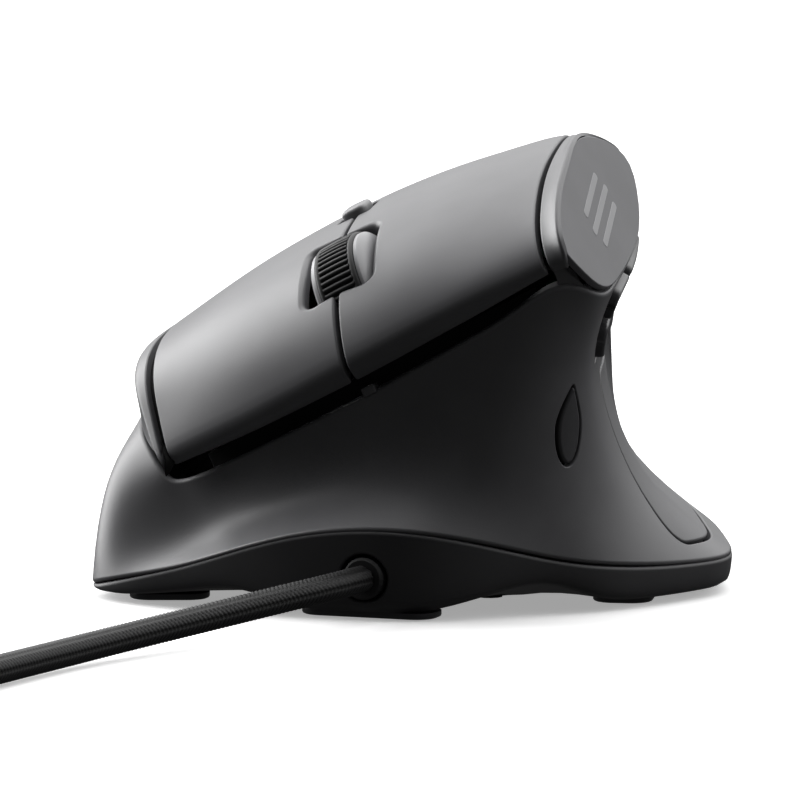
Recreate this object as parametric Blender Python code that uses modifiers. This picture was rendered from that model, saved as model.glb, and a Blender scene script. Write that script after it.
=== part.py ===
"""Wired upright mouse for the right hand, built as an assembly of its separate pieces.

Lengths are in millimetres here and are turned into metres when a mesh is made. +Z is up, the
cable leaves towards -Y, and the thumb rests on the +X side. The origin is on the desk, under the
middle of the mouse. A place on the sloping barrel, which carries the buttons, is given as
(along, y, rise): along its axis from the lower end, front to back, and square to its axis.
"""

import math

import bmesh
import bpy
import numpy as np
from mathutils import Matrix, Vector

MM = 0.001

# Driving dimensions of the housing
BARREL_SLOPE = math.radians(27.14)
BARREL_START = Vector((-28.6, 0.0, 19.3))
WALL = 1.7
CAP_WALL = 1.2
SEAM = 0.35
POST_BOTTOM = 16.1

# Stations of the top surface that its seams follow, and rows that the button seam follows
LOWER_SEAM, SPLIT, CREST_SEAM, CREST_EDGE = 2.0, 5.0, 8.0, 9.0
BUTTON_END, TOP_END = 7.5, 10.0
HINGE_AT = (4.0, 20.5)
PLATE_BACK, PLATE_THICKNESS, PLATE_MARGIN = 69.3, 1.2, 2.0

# Scroll wheel, with its centre on the barrel
WHEEL_AT = (35.5, -39.1, 11.4)
WHEEL_RADIUS = 10.3
WHEEL_WIDTH = 7.0
CORE_WIDTH = 9.4
AXLE_RADIUS = 0.9
CRADLE_PIVOT = (35.5, -21.5, 4.6)

# Underside
FLOOR_BOTTOM = 1.0
FLOOR_TOP = 2.6
FOOT_HEIGHT = 0.65
SENSOR_AT = (-4.0, -4.0)
SCREWS_AT = ((-24.0, -32.0), (16.0, -36.0), (-24.0, 26.0), (-3.0, 27.0))
BOARD_BOTTOM, BOARD_TOP = 6.2, 7.6

# Cable
CABLE = 4.1
CABLE_EXIT = (3.9, -57.9, 6.1)
CABLE_ROUTE = (
    (3.9, -58.2, 6.1),
    (2.9, -64.0, 6.0),
    (0.6, -70.0, 5.6),
    (-2.5, -76.0, 5.0),
    (-6.5, -84.0, 4.2),
    (-10.4, -92.0, 3.45),
    (-13.7, -100.0, 2.85),
    (-16.4, -108.0, 2.4),
    (-18.3, -116.0, 2.16),
    (-19.6, -124.0, 2.1),
    (-20.8, -133.0, 2.1),
    (-22.2, -142.5, 2.1),
    (-24.6, -151.5, 2.1),
    (-28.5, -160.0, 2.1),
)
COIL_AT = (-57.1, -146.9)
COIL_PITCH = 4.15
COIL_TURNS_WIDE = 3
COIL_TURNS_HIGH = 4
COIL_INNER = 16.3
PLUG_OFFSET = -9.0
TAIL_ROUTE = (
    (13.0, -20.5, 0.0),
    (6.0, -23.6, 0.0),
    (-1.0, -24.0, 0.3),
    (-6.4, -20.8, 1.0),
    (-8.7, -16.0, 1.8),
    (-9.0, -12.3, 1.95),
)


# Surfaces ------------------------------------------------------------------------------------


def barrel(along, y, rise):
    """The point of the mouse that a place on the barrel stands for."""
    across = Vector((math.cos(BARREL_SLOPE), 0.0, math.sin(BARREL_SLOPE)))
    up = Vector((-math.sin(BARREL_SLOPE), 0.0, math.cos(BARREL_SLOPE)))
    return BARREL_START + across * along + up * rise + Vector((0.0, y, 0.0))


def barrel_frame(along, y, rise):
    """A frame at a place on the barrel, with X along it and Z square to it."""
    return Matrix.Translation(barrel(along, y, rise)) @ Matrix.Rotation(-BARREL_SLOPE, 4, "Y")


def spline_controls(rows, closed):
    """B-spline controls for a curve, or a row of curves, that passes through the given rows."""
    rows = np.asarray(rows, float)
    count = len(rows)
    weights = np.zeros((count, count))
    for i in range(count):
        if closed or 0 < i < count - 1:
            weights[i, i] = 4 / 6
            weights[i, i - 1] = 1 / 6
            weights[i, (i + 1) % count] = 1 / 6
        else:
            weights[i, i] = 1
    controls = np.linalg.solve(weights, rows.reshape(count, -1)).reshape(rows.shape)
    if closed:
        return np.concatenate([controls[-1:], controls, controls[:2]])
    first = 2 * controls[:1] - controls[1:2]
    last = 2 * controls[-1:] - controls[-2:-1]
    return np.concatenate([first, controls, last])


def spline_weights(offset):
    """The four B-spline weights at an offset of 0 to 1 within a span."""
    return (
        (1 - offset) ** 3 / 6,
        (3 * offset**3 - 6 * offset**2 + 4) / 6,
        (-3 * offset**3 + 3 * offset**2 + 3 * offset + 1) / 6,
        offset**3 / 6,
    )


class Surface:
    """A smooth surface through a grid of points: u counts its stations and v its rows."""

    def __init__(self, stations, closed=False):
        controls = spline_controls(stations, closed)
        turned = spline_controls(controls.transpose(1, 0, 2), False)
        self.controls = turned.transpose(1, 0, 2)

    def at(self, u, v):
        u, v = np.broadcast_arrays(np.asarray(u, float), np.asarray(v, float))
        column = np.clip(np.floor(u).astype(int), 0, self.controls.shape[0] - 4)
        row = np.clip(np.floor(v).astype(int), 0, self.controls.shape[1] - 4)
        total = np.zeros(u.shape + (3,))
        for i, across in enumerate(spline_weights(u - column)):
            for j, along in enumerate(spline_weights(v - row)):
                total += (across * along)[..., None] * self.controls[column + i, row + j]
        return total

    def normal(self, u, v):
        step = 0.01
        across = self.at(np.asarray(u) + step, v) - self.at(np.asarray(u) - step, v)
        along = self.at(u, np.asarray(v) + step) - self.at(u, np.asarray(v) - step)
        square = np.cross(across, along)
        return square / np.linalg.norm(square, axis=-1, keepdims=True)


def top_surface():
    """The buttons, their end caps and the palm: 10 stations across, 11 rows front to back."""
    left_edge = [
        (-30.6, -48.0, 20.6), (-33.0, -47.0, 21.9), (-35.2, -45.0, 23.4), (-37.4, -41.5, 25.1),
        (-39.6, -36.5, 26.8), (-42.1, -29.0, 28.3), (-43.7, -17.0, 27.9), (-44.0, -3.0, 26.0),
        (-42.5, 13.0, 22.0), (-38.5, 29.0, 17.0), (-31.0, 43.0, 12.0),
    ]
    lower_cap = [
        (-0.7, -48.6, 1.0), (-1.2, -49.4, 2.6), (-2.0, -48.4, 5.4), (-2.6, -45.6, 10.2),
        (-3.4, -41.5, 15.0), (-4.3, -34.0, 19.0), (-5.0, -21.5, 21.2), (-5.5, -5.0, 21.4),
        (-6.0, 14.0, 18.6), (-6.0, 31.0, 11.4),
    ]
    stations = [
        [(0, -48.6, 0.7), (0, -50.0, 2.6), (0, -49.3, 5.4), (0, -46.6, 10.2), (0, -42.6, 15.3),
         (0, -34.5, 20.1), (0, -21.5, 22.9), (0, -5.0, 23.4), (0, 14.0, 20.6), (0, 31.0, 13.0)],
        [(12, -50.2, -0.2), (12, -52.2, 2.0), (12, -51.7, 5.2), (12, -49.0, 10.6), (12, -44.0, 16.2),
         (12, -34.8, 21.4), (12, -21.0, 24.6), (12, -4.5, 25.2), (12, 14.0, 22.6), (12, 32.0, 15.5)],
        [(24, -51.2, -0.6), (24, -53.6, 1.8), (24, -53.2, 5.2), (24, -50.3, 10.7), (24, -44.4, 16.6),
         (24, -34.5, 21.9), (24, -20.6, 25.4), (24, -4.0, 26.2), (24, 14.0, 24.0), (24, 32.5, 16.6)],
        [(36, -51.5, -0.7), (36, -54.1, 1.9), (36, -53.7, 5.4), (36, -50.3, 11.0), (36, -43.8, 16.9),
         (36, -33.6, 22.0), (36, -20.0, 25.4), (36, -4.0, 26.2), (35, 14.0, 24.3), (32.5, 32.0, 16.6)],
        [(47, -51.1, -0.3), (47, -53.6, 2.1), (47, -53.2, 5.4), (47, -49.8, 10.4), (47, -43.0, 15.9),
         (47, -33.0, 20.8), (47, -19.6, 24.5), (46.6, -4.0, 25.3), (44.5, 13.0, 23.6),
         (39.5, 30.5, 16.2)],
        [(57, -50.2, 0.3), (57, -52.3, 2.2), (57, -51.8, 5.2), (57, -48.2, 9.4), (57, -41.6, 14.4),
         (57, -32.0, 19.1), (57, -19.2, 22.9), (56, -4.5, 23.8), (52.5, 12.0, 22.3),
         (45.5, 28.5, 15.6)],
        [(66.6, -49.0, 1.0), (66.6, -50.4, 2.4), (66.6, -49.6, 5.2), (66.6, -46.2, 8.8),
         (66.6, -40.0, 12.9), (66.6, -30.8, 17.2), (66.6, -19.0, 20.8), (64.4, -5.5, 21.9),
         (59.6, 10.5, 20.6), (50.8, 26.5, 14.2)],
    ]
    crest_front = [
        (68.6, -48.4, 0.4), (70.0, -50.4, 2.2), (70.4, -50.6, 5.4), (70.4, -46.8, 9.0),
        (70.4, -40.4, 13.0), (70.4, -30.8, 17.3), (70.2, -18.0, 20.6),
    ]
    crest_rear = [(25.2, -2.0, 66.0), (18.3, 11.0, 62.0), (13.6, 26.5, 49.5)]
    rear_edge = [
        (-26.0, 47.5, 11.2), (-21.0, 51.0, 10.8), (-14.5, 54.3, 10.6), (-8.5, 56.2, 10.8),
        (-3.0, 57.0, 11.6), (1.5, 56.3, 13.2), (4.6, 54.0, 16.0), (6.6, 50.5, 20.0), (7.5, 46.5, 25.5),
    ]
    grid = [left_edge]
    for rows, end in zip([lower_cap] + stations, rear_edge):
        grid.append([barrel(*row) for row in rows] + [end])
    grid.append([barrel(*row) for row in crest_front] + crest_rear + [rear_edge[-1]])
    return Surface(grid)


def wall_surface():
    """The walls all round, from the rim under the top surface (row 0) to the crease (row 3)."""
    rim = [barrel(*place) for place in (
        (0, -47.6, -0.9), (12, -49.2, -1.8), (24, -50.2, -2.2), (36, -50.5, -2.3), (48, -50.1, -1.9),
        (58, -49.2, -1.2), (66.6, -47.6, -0.7),
    )]
    rim += [
        (35.2, -42.0, 47.6), (34.9, -33.0, 48.6), (33.6, -23.0, 51.0), (31.3, -11.5, 55.6),
        (26.4, 0.2, 63.0), (19.2, 12.2, 58.8), (14.1, 27.0, 45.8), (8.4, 46.4, 22.6), (3.0, 55.4, 12.2),
        (-7.5, 56.9, 9.4), (-20.0, 51.9, 9.4), (-31.0, 43.5, 10.3), (-38.6, 29.0, 15.2),
        (-42.4, 13.0, 20.2), (-43.9, -3.0, 24.2), (-43.6, -17.0, 26.2), (-42.0, -29.0, 26.6),
        (-37.8, -40.0, 24.4), (-32.6, -46.4, 20.2),
    ]
    upper = [
        (-27.0, -48.4, 14.6), (-16.6, -49.2, 18.6), (-5.9, -49.6, 23.0), (4.7, -49.4, 27.4),
        (15.0, -48.8, 31.4), (22.8, -47.6, 34.4), (28.6, -43.8, 35.4), (31.4, -37.6, 35.0),
        (30.9, -31.5, 36.0), (28.6, -22.5, 38.0), (25.8, -11.5, 40.0), (21.2, 1.0, 42.0),
        (16.0, 14.5, 42.0), (11.4, 29.6, 36.0), (9.0, 46.7, 20.0), (3.6, 55.9, 11.2),
        (-7.5, 57.2, 8.8), (-20.2, 52.3, 8.7), (-31.4, 43.9, 9.2), (-39.0, 29.5, 12.4),
        (-43.0, 13.5, 16.0), (-44.6, -3.0, 19.2), (-44.7, -18.0, 20.4), (-43.8, -31.0, 20.2),
        (-41.8, -42.5, 18.6), (-36.0, -47.8, 14.8),
    ]
    lower = [
        (-26.8, -50.6, 9.8), (-17.0, -51.4, 13.2), (-6.6, -51.4, 16.8), (3.9, -51.0, 19.4),
        (13.6, -49.8, 20.6), (21.2, -47.6, 20.8), (27.8, -42.4, 20.6), (32.2, -35.4, 20.2),
        (33.6, -28.4, 19.6), (33.0, -19.5, 19.6), (30.4, -9.5, 19.6), (24.8, 3.0, 20.0),
        (19.2, 16.5, 20.8), (14.0, 31.4, 20.0), (11.0, 46.8, 14.6), (4.2, 56.3, 9.8),
        (-7.5, 57.5, 8.2), (-20.4, 52.7, 7.9), (-31.6, 44.1, 7.8), (-39.0, 29.8, 9.0),
        (-42.9, 13.8, 10.4), (-44.8, -3.0, 11.6), (-45.1, -19.0, 11.6), (-45.0, -33.0, 11.0),
        (-43.5, -44.5, 10.0), (-37.6, -49.8, 8.6),
    ]
    crease = [
        (-27.0, -54.9, 6.2), (-17.4, -57.0, 9.2), (-7.6, -58.0, 12.0), (2.4, -57.8, 13.4),
        (11.8, -56.2, 13.1), (20.4, -51.0, 11.2), (28.0, -43.6, 8.6), (34.3, -37.0, 7.1),
        (39.6, -28.0, 6.2), (43.8, -18.0, 5.8), (45.1, -8.5, 5.8), (41.0, 3.5, 6.2),
        (34.6, 17.5, 6.8), (26.2, 31.5, 7.4), (15.6, 46.2, 7.6), (5.0, 56.6, 7.6), (-7.5, 57.9, 7.4),
        (-20.6, 53.0, 6.9), (-31.8, 44.2, 6.3), (-38.8, 30.0, 5.6), (-42.4, 14.0, 4.8),
        (-44.5, -3.0, 3.9), (-45.3, -19.0, 2.9), (-45.3, -34.0, 2.2), (-44.2, -45.0, 1.9),
        (-37.6, -51.6, 3.5),
    ]
    return Surface(list(zip(rim, upper, lower, crease)), closed=True)


TOP = top_surface()
WALLS = wall_surface()
WALL_STATIONS = 26
WALL_ROWS = 3.0


# Materials and objects ------------------------------------------------------------------------


def material(name, colour, roughness, metallic=0.0):
    made = bpy.data.materials.new(name)
    made.use_nodes = True
    shader = made.node_tree.nodes["Principled BSDF"]
    shader.inputs["Base Color"].default_value = (*colour, 1.0)
    shader.inputs["Roughness"].default_value = roughness
    shader.inputs["Metallic"].default_value = metallic
    return made


def clear_scene():
    for obj in list(bpy.data.objects):
        bpy.data.objects.remove(obj, do_unlink=True)


def new_collection(name):
    made = bpy.data.collections.new(name)
    bpy.context.scene.collection.children.link(made)
    return made


clear_scene()
PARTS = new_collection("upright_mouse")
CUTTERS = new_collection("cutters")
MATERIALS = {
    "shell": material("shell", (0.060, 0.060, 0.066), 0.42),
    "base": material("base", (0.018, 0.018, 0.020), 0.50),
    "plate": material("plate", (0.130, 0.130, 0.138), 0.45),
    "key": material("key", (0.100, 0.100, 0.106), 0.40),
    "tyre": material("tyre", (0.012, 0.012, 0.013), 0.70),
    "hub": material("hub", (0.260, 0.260, 0.270), 0.35),
    "grip": material("grip", (0.055, 0.055, 0.060), 0.60),
    "foot": material("foot", (0.035, 0.035, 0.037), 0.35),
    "board": material("board", (0.010, 0.060, 0.035), 0.55),
    "component": material("component", (0.020, 0.020, 0.022), 0.45),
    "frame": material("frame", (0.050, 0.050, 0.053), 0.60),
    "steel": material("steel", (0.560, 0.570, 0.580), 0.28, 1.0),
    "lens": material("lens", (0.300, 0.320, 0.330), 0.08),
    "cable": material("cable", (0.010, 0.010, 0.011), 0.80),
    "grommet": material("grommet", (0.012, 0.012, 0.013), 0.60),
    "plug": material("plug", (0.014, 0.014, 0.015), 0.50),
}
ROOT = bpy.data.objects.new("upright_mouse_root", None)
PARTS.objects.link(ROOT)


def add_object(name, mesh, slot):
    obj = bpy.data.objects.new(name, mesh)
    PARTS.objects.link(obj)
    obj.parent = ROOT
    mesh.materials.append(MATERIALS[slot])
    return obj


def as_cutter(obj):
    """Moves an object to the cutters, which shape other pieces and aren't pieces themselves."""
    PARTS.objects.unlink(obj)
    CUTTERS.objects.link(obj)
    obj.hide_render = True
    obj.display_type = "WIRE"
    return obj


def shape_with(obj, tool, operation):
    """Cuts the tool out of a piece, or joins it on, with a live Boolean."""
    if CUTTERS not in tool.users_collection:
        as_cutter(tool)
    modifier = obj.modifiers.new(f"{operation.lower()}_{tool.name}", "BOOLEAN")
    modifier.operation = operation
    modifier.solver = "EXACT"
    modifier.object = tool


def cut(obj, *tools):
    for tool in tools:
        shape_with(obj, tool, "DIFFERENCE")


def join(obj, *tools):
    for tool in tools:
        shape_with(obj, tool, "UNION")


def set_pivot(obj, point):
    """Moves an object's origin onto its joint's axis, leaving its mesh where it is."""
    obj.data.transform(Matrix.Translation(-Vector(point) * MM))
    obj.location = Vector(point) * MM


def mesh_from(name, points, faces):
    mesh = bpy.data.meshes.new(name)
    mesh.from_pydata([tuple(MM * float(value) for value in point) for point in points], [], faces)
    form = bmesh.new()
    form.from_mesh(mesh)
    bmesh.ops.recalc_face_normals(form, faces=form.faces)
    form.to_mesh(mesh)
    form.free()
    return mesh


def solid_from_grids(name, slot, outer, inner, closed=False):
    """A closed solid between two grids of points that match, one the skin and one its inside."""
    stations, rows = outer.shape[:2]
    points = np.concatenate([outer.reshape(-1, 3), inner.reshape(-1, 3)])
    depth = stations * rows
    faces = []
    spans = stations if closed else stations - 1
    for i in range(spans):
        near, far = i * rows, (i + 1) % stations * rows
        for j in range(rows - 1):
            faces.append((near + j, far + j, far + j + 1, near + j + 1))
            faces.append(tuple(depth + k for k in (near + j, near + j + 1, far + j + 1, far + j)))
        for j in (0, rows - 1):
            faces.append((near + j, far + j, depth + far + j, depth + near + j))
    if not closed:
        for base in (0, (stations - 1) * rows):
            for j in range(rows - 1):
                faces.append((base + j, base + j + 1, depth + base + j + 1, depth + base + j))
    return add_object(name, mesh_from(name, points, faces), slot)


def patch(name, slot, surface, us, vs, out, depth, outward=1.0):
    """A piece of a surface as a solid, from `out` above it to `depth` below it."""
    u, v = np.meshgrid(us, vs, indexing="ij")
    skin = surface.at(u, v)
    square = surface.normal(u, v) * outward
    return solid_from_grids(name, slot, skin + square * out, skin - square * depth)


def box(name, slot, frame, size, bevel=0.0):
    """A box centred on a frame."""
    form = bmesh.new()
    bmesh.ops.create_cube(form, size=1.0)
    mesh = bpy.data.meshes.new(name)
    form.to_mesh(mesh)
    form.free()
    mesh.transform(frame_in_metres(frame) @ Matrix.Diagonal((*(MM * side for side in size), 1.0)))
    obj = add_object(name, mesh, slot)
    if bevel:
        add_bevel(obj, bevel)
    return obj


def add_bevel(obj, width):
    modifier = obj.modifiers.new("edges", "BEVEL")
    modifier.width = width * MM
    modifier.segments = 2
    modifier.limit_method = "ANGLE"


def frame_in_metres(frame):
    moved = frame.copy()
    moved.translation = frame.translation * MM
    return moved


def at(x, y, z):
    return Matrix.Translation((x, y, z))


def box_between(name, slot, low, high, frame=None, bevel=0.0):
    """A box between two corners, in a frame of its own or in the mouse's."""
    low, high = Vector(low), Vector(high)
    middle = Matrix.Translation((low + high) / 2)
    return box(name, slot, (frame or Matrix.Identity(4)) @ middle, high - low, bevel)


def cylinder(name, slot, frame, radius, height, top_radius=None, sides=24):
    """A cylinder or cone along a frame's Z, centred on it."""
    form = bmesh.new()
    bmesh.ops.create_cone(
        form,
        cap_ends=True,
        segments=sides,
        radius1=radius * MM,
        radius2=(radius if top_radius is None else top_radius) * MM,
        depth=height * MM,
    )
    mesh = bpy.data.meshes.new(name)
    form.to_mesh(mesh)
    form.free()
    mesh.transform(frame_in_metres(frame))
    return add_object(name, mesh, slot)


def turned(name, slot, frame, profile, sides=32, flip=False):
    """A closed profile of (radius, height) points turned about a frame's Z with a Screw."""
    pairs = zip(profile, profile[1:] + profile[:1])
    if sum(r1 * h2 - r2 * h1 for (r1, h1), (r2, h2) in pairs) > 0:
        profile = profile[::-1]
    mesh = bpy.data.meshes.new(name)
    points = [(radius * MM, 0.0, height * MM) for radius, height in profile]
    edges = [(i, (i + 1) % len(profile)) for i in range(len(profile))]
    mesh.from_pydata(points, [(i, j) for i, j in edges if profile[i][0] or profile[j][0]], [])
    obj = add_object(name, mesh, slot)
    obj.matrix_local = frame_in_metres(frame)
    screw = obj.modifiers.new("turn", "SCREW")
    screw.steps = sides
    screw.render_steps = sides
    screw.use_merge_vertices = True
    screw.merge_threshold = 0.00001
    screw.use_normal_calculate = True
    screw.use_normal_flip = flip
    return obj


def outline_solid(name, slot, frame, outline, height):
    """A flat outline, given as (x, y) points, extruded along a frame's Z from 0 to its height."""
    count = len(outline)
    points = [(x, y, z) for z in (0.0, height) for x, y in outline]
    faces = [tuple(range(count))[::-1], tuple(range(count, 2 * count))]
    for i in range(count):
        j = (i + 1) % count
        faces.append((i, j, count + j, count + i))
    mesh = mesh_from(name, points, faces)
    mesh.transform(frame_in_metres(frame))
    return add_object(name, mesh, slot)


def rounded_outline(length, width, radius, steps=4):
    """The (x, y) points of a rectangle with round corners."""
    points = []
    for corner, (sx, sy) in enumerate(((1, 1), (-1, 1), (-1, -1), (1, -1))):
        for step in range(steps + 1):
            angle = math.radians(90 * (corner + step / steps))
            x = sx * (length / 2 - radius) + radius * math.cos(angle)
            points.append((x, sy * (width / 2 - radius) + radius * math.sin(angle)))
    return points


def wall_frame(u, v, out=0.0):
    """A frame on the walls: Z outwards, X towards the next station and Y mostly upwards."""
    square = Vector(-WALLS.normal(u, v))
    along = Vector(WALLS.at(u + 0.1, v) - WALLS.at(u - 0.1, v))
    along = (along - square * along.dot(square)).normalized()
    turn = Matrix((along, square.cross(along), square)).transposed().to_4x4()
    return Matrix.Translation(Vector(WALLS.at(u, v)) + square * out) @ turn


# Housing --------------------------------------------------------------------------------------

THUMB_KEYS = {
    "thumb_key_front_upper": (8.02, 9.00, 0.13, 0.50),
    "thumb_key_front_lower": (8.02, 9.00, 0.57, 0.95),
    "thumb_key_rear_upper": (9.10, 10.12, 0.13, 0.50),
    "thumb_key_rear_lower": (9.10, 10.12, 0.57, 0.95),
}
THUMB_PANEL = (8.2, 12.4, 1.22, 2.70)
SNIPER_AT = (6.42, 1.50)
DPI_KEY = ((34.4, -27.2), (39.2, -20.8))


def grow(low, high, amount):
    return low - amount, high + amount


def wheel_slot():
    """The round-ended opening that the scroll wheel stands in, as a cutter."""
    middle = barrel_frame(WHEEL_AT[0], -42.9, 17.5) @ Matrix.Rotation(math.radians(32.2), 4, "X")
    outline = rounded_outline(12.4, 20.4, 2.4)
    return as_cutter(outline_solid("wheel_slot", "shell", middle @ at(0, 0, -9), outline, 18.0))


def dpi_slot():
    (low_s, low_y), (high_s, high_y) = DPI_KEY
    frame = barrel_frame(0, 0, 0)
    low = (low_s - 0.4, low_y - 0.4, 18.0)
    high = (high_s + 0.4, high_y + 0.4, 30.0)
    return as_cutter(box_between("dpi_slot", "shell", low, high, frame))


def button(name, start, end, slots, post_along, post_top):
    """A main button: a curved plate with a post under it that reaches its switch."""
    us = np.linspace(start, end, 11)
    vs = np.concatenate([np.linspace(0, 5, 16), np.linspace(5.5, BUTTON_END - 0.03, 5)])
    obj = patch(name, "shell", TOP, us, vs, 0.0, WALL)
    cut(obj, *slots)
    height = post_top - POST_BOTTOM
    place = barrel_frame(post_along, -36.0, (post_top + POST_BOTTOM) / 2)
    post = cylinder(f"{name}_post", "shell", place, 1.5, height, sides=12)
    join(obj, post)
    set_pivot(obj, barrel(post_along, *HINGE_AT))
    return obj


def main_buttons():
    slots = (wheel_slot(), dpi_slot())
    gap = 0.032
    button("right_button", LOWER_SEAM + gap, SPLIT - gap, slots, 18.0, 20.0)
    button("left_button", SPLIT + gap, CREST_SEAM - gap, slots, 52.0, 17.6)


def lower_cap():
    us = np.linspace(0.0, LOWER_SEAM - 0.12, 7)
    vs = np.concatenate([np.linspace(0.4, 5, 14), np.linspace(5.6, BUTTON_END - 0.03, 4)])
    patch("lower_cap", "shell", TOP, us, vs, 0.0, CAP_WALL)


def crest_cap():
    us = np.linspace(CREST_SEAM + 0.10, CREST_EDGE - 0.12, 4)
    vs = np.concatenate([np.linspace(0, 5, 14), np.linspace(5.4, BUTTON_END - 0.03, 6)])
    patch("crest_cap", "shell", TOP, us, vs, 0.0, CAP_WALL)


def crest_outline(margin):
    """The crest's open end as (y, rise) points on the barrel, drawn in by a margin."""
    skin = [TOP.at(CREST_EDGE, v) for v in np.arange(0.5, 7.1, 0.5)]
    skin += [WALLS.at(u, 0.0) for u in np.arange(11.0, 6.2, -0.5)]
    upright = Vector((-math.sin(BARREL_SLOPE), 0.0, math.cos(BARREL_SLOPE)))
    edge = np.array([(point[1], (Vector(point) - BARREL_START).dot(upright)) for point in skin])
    along = np.roll(edge, -1, axis=0) - np.roll(edge, 1, axis=0)
    inward = np.stack([along[:, 1], -along[:, 0]], axis=1)
    return edge + inward / np.linalg.norm(inward, axis=1, keepdims=True) * margin


def crest_plate():
    """The flat lens-shaped plate that closes the barrel's upper end."""
    frame = barrel_frame(PLATE_BACK, 0, 0) @ Matrix.Rotation(math.radians(90), 4, "Z")
    frame = frame @ Matrix.Rotation(math.radians(90), 4, "X")
    outline_solid("crest_plate", "plate", frame, crest_outline(PLATE_MARGIN), PLATE_THICKNESS)


def palm_cover():
    us = np.concatenate([np.linspace(0, 2, 5), np.linspace(2.5, 8, 12), np.linspace(8.33, 9, 3)])
    vs = np.linspace(BUTTON_END + 0.03, TOP_END, 12)
    patch("palm_cover", "shell", TOP, us, vs, 0.0, WALL)


def key_cutters():
    """Cutters for the openings of the thumb keys, the thumb panel and the small round-ended key."""
    us = [key[0] for key in THUMB_KEYS.values()] + [key[1] for key in THUMB_KEYS.values()]
    vs = [key[2] for key in THUMB_KEYS.values()] + [key[3] for key in THUMB_KEYS.values()]
    keys = patch(
        "thumb_key_opening", "shell", WALLS, np.linspace(*grow(min(us), max(us), 0.05), 7),
        np.linspace(*grow(min(vs), max(vs), 0.05), 5), 4.0, 4.0, -1.0,
    )
    start, end, top, bottom = THUMB_PANEL
    panel = patch(
        "thumb_panel_opening", "shell", WALLS, np.linspace(*grow(start, end, 0.04), 13),
        np.linspace(*grow(top, bottom, 0.05), 7), 2.0, 3.0, -1.0,
    )
    sniper = outline_solid(
        "sniper_key_opening", "shell", wall_frame(*SNIPER_AT, -4.0), teardrop(0.4), 8.0
    )
    return [as_cutter(keys), as_cutter(panel), as_cutter(sniper)]


def wall_ring(name, slot, us, vs, depth):
    """The whole ring of walls as a solid, whose lower edge is cut level."""
    u, v = np.meshgrid(us, vs, indexing="ij")
    skin = WALLS.at(u, v)
    square = -WALLS.normal(u, v)
    square[..., 2] *= np.clip(WALL_ROWS - v, 0.0, 1.0)
    square /= np.linalg.norm(square, axis=-1, keepdims=True)
    return solid_from_grids(name, slot, skin, skin - square * depth, closed=True)


def body_shell():
    """The walls, from the rim under the buttons to the crease above the base."""
    us = np.arange(0, WALL_STATIONS, 0.25)
    obj = wall_ring("body_shell", "shell", us, np.linspace(0.0, WALL_ROWS, 10), WALL)
    cut(obj, *key_cutters())


def thumb_panel():
    start, end, top, bottom = THUMB_PANEL
    us = np.linspace(start, end, 15)
    patch("thumb_panel", "grip", WALLS, us, np.linspace(top, bottom, 8), 0.0, WALL, -1.0)


def foot_lift(x, y):
    """How far the base's lower edge rises above the feet: two arches at the front."""
    left = math.exp(-(((x + 20.0) / 9.0) ** 2))
    right = math.exp(-(((x - 20.5) / 8.5) ** 2))
    front = 1.0 / (1.0 + math.exp((y + 36.0) / 4.0))
    return (2.6 * left + 4.4 * right) * front


def base_rows():
    """The base's skin, from the crease to the middle of its underside, and the inside of it."""
    us = np.arange(0, WALL_STATIONS, 0.25)
    crease = WALLS.at(us, 3.0)
    outward = -WALLS.normal(us, np.full_like(us, 2.9))
    outward[:, 2] = 0.0
    outward /= np.linalg.norm(outward, axis=1, keepdims=True)
    lift = np.array([foot_lift(x, y) for x, y, _ in crease])
    top = crease - [0.0, 0.0, SEAM]
    skin, inside = [top], [top - outward * WALL]
    for share, inset in ((0.45, 0.5), (0.80, 1.5), (1.0, 3.2)):
        row = crease - outward * inset
        row[:, 2] = top[:, 2] + (FLOOR_BOTTOM + lift - top[:, 2]) * share
        within = row - outward * WALL
        within[:, 2] = np.maximum(row[:, 2], FLOOR_TOP + lift * share)
        skin.append(row)
        inside.append(within)
    middle = np.array([0.0, 0.0, 0.0])
    for shrink in (0.72, 0.36):
        row = middle + (skin[3] - middle) * shrink
        row[:, 2] = FLOOR_BOTTOM
        within = middle + (inside[3] - middle) * shrink
        within[:, 2] = FLOOR_TOP
        skin.append(row)
        inside.append(within)
    inside[3][:, 2] = np.maximum(inside[3][:, 2], FLOOR_TOP)
    return np.stack(skin, axis=1), np.stack(inside, axis=1)


def base_shell():
    skin, inside = base_rows()
    stations, rows = skin.shape[:2]
    points = np.concatenate([skin.reshape(-1, 3), inside.reshape(-1, 3)])
    depth = stations * rows
    faces = []
    for i in range(stations):
        near, far = i * rows, (i + 1) % stations * rows
        for j in range(rows - 1):
            faces.append((near + j, far + j, far + j + 1, near + j + 1))
            faces.append(tuple(depth + k for k in (near + j, near + j + 1, far + j + 1, far + j)))
        faces.append((near, far, depth + far, depth + near))
    ring = [i * rows + rows - 1 for i in range(stations)]
    faces.append(tuple(ring))
    faces.append(tuple(depth + i for i in reversed(ring)))
    obj = add_object("base_shell", mesh_from("base_shell", points, faces), "base")
    for i, (x, y) in enumerate(SCREWS_AT):
        boss = cylinder(f"boss_{i}", "base", at(x, y, 3.3), 3.0, 2.6, sides=16)
        join(obj, boss)
    for i, (x, y) in enumerate(SCREWS_AT):
        head = cylinder(f"screw_head_hole_{i}", "base", at(x, y, 1.4), 2.4, 3.0, sides=16)
        shaft = cylinder(f"screw_shaft_hole_{i}", "base", at(x, y, 4.0), 1.4, 4.0, sides=12)
        cut(obj, head, shaft)
    window = cylinder("sensor_window", "base", at(*SENSOR_AT, 2.0), 4.0, 4.0, sides=20)
    exit_hole = cylinder("cable_hole", "base", cable_exit_frame(0.0), 3.6, 8.0, sides=20)
    cut(obj, window, exit_hole)


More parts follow.
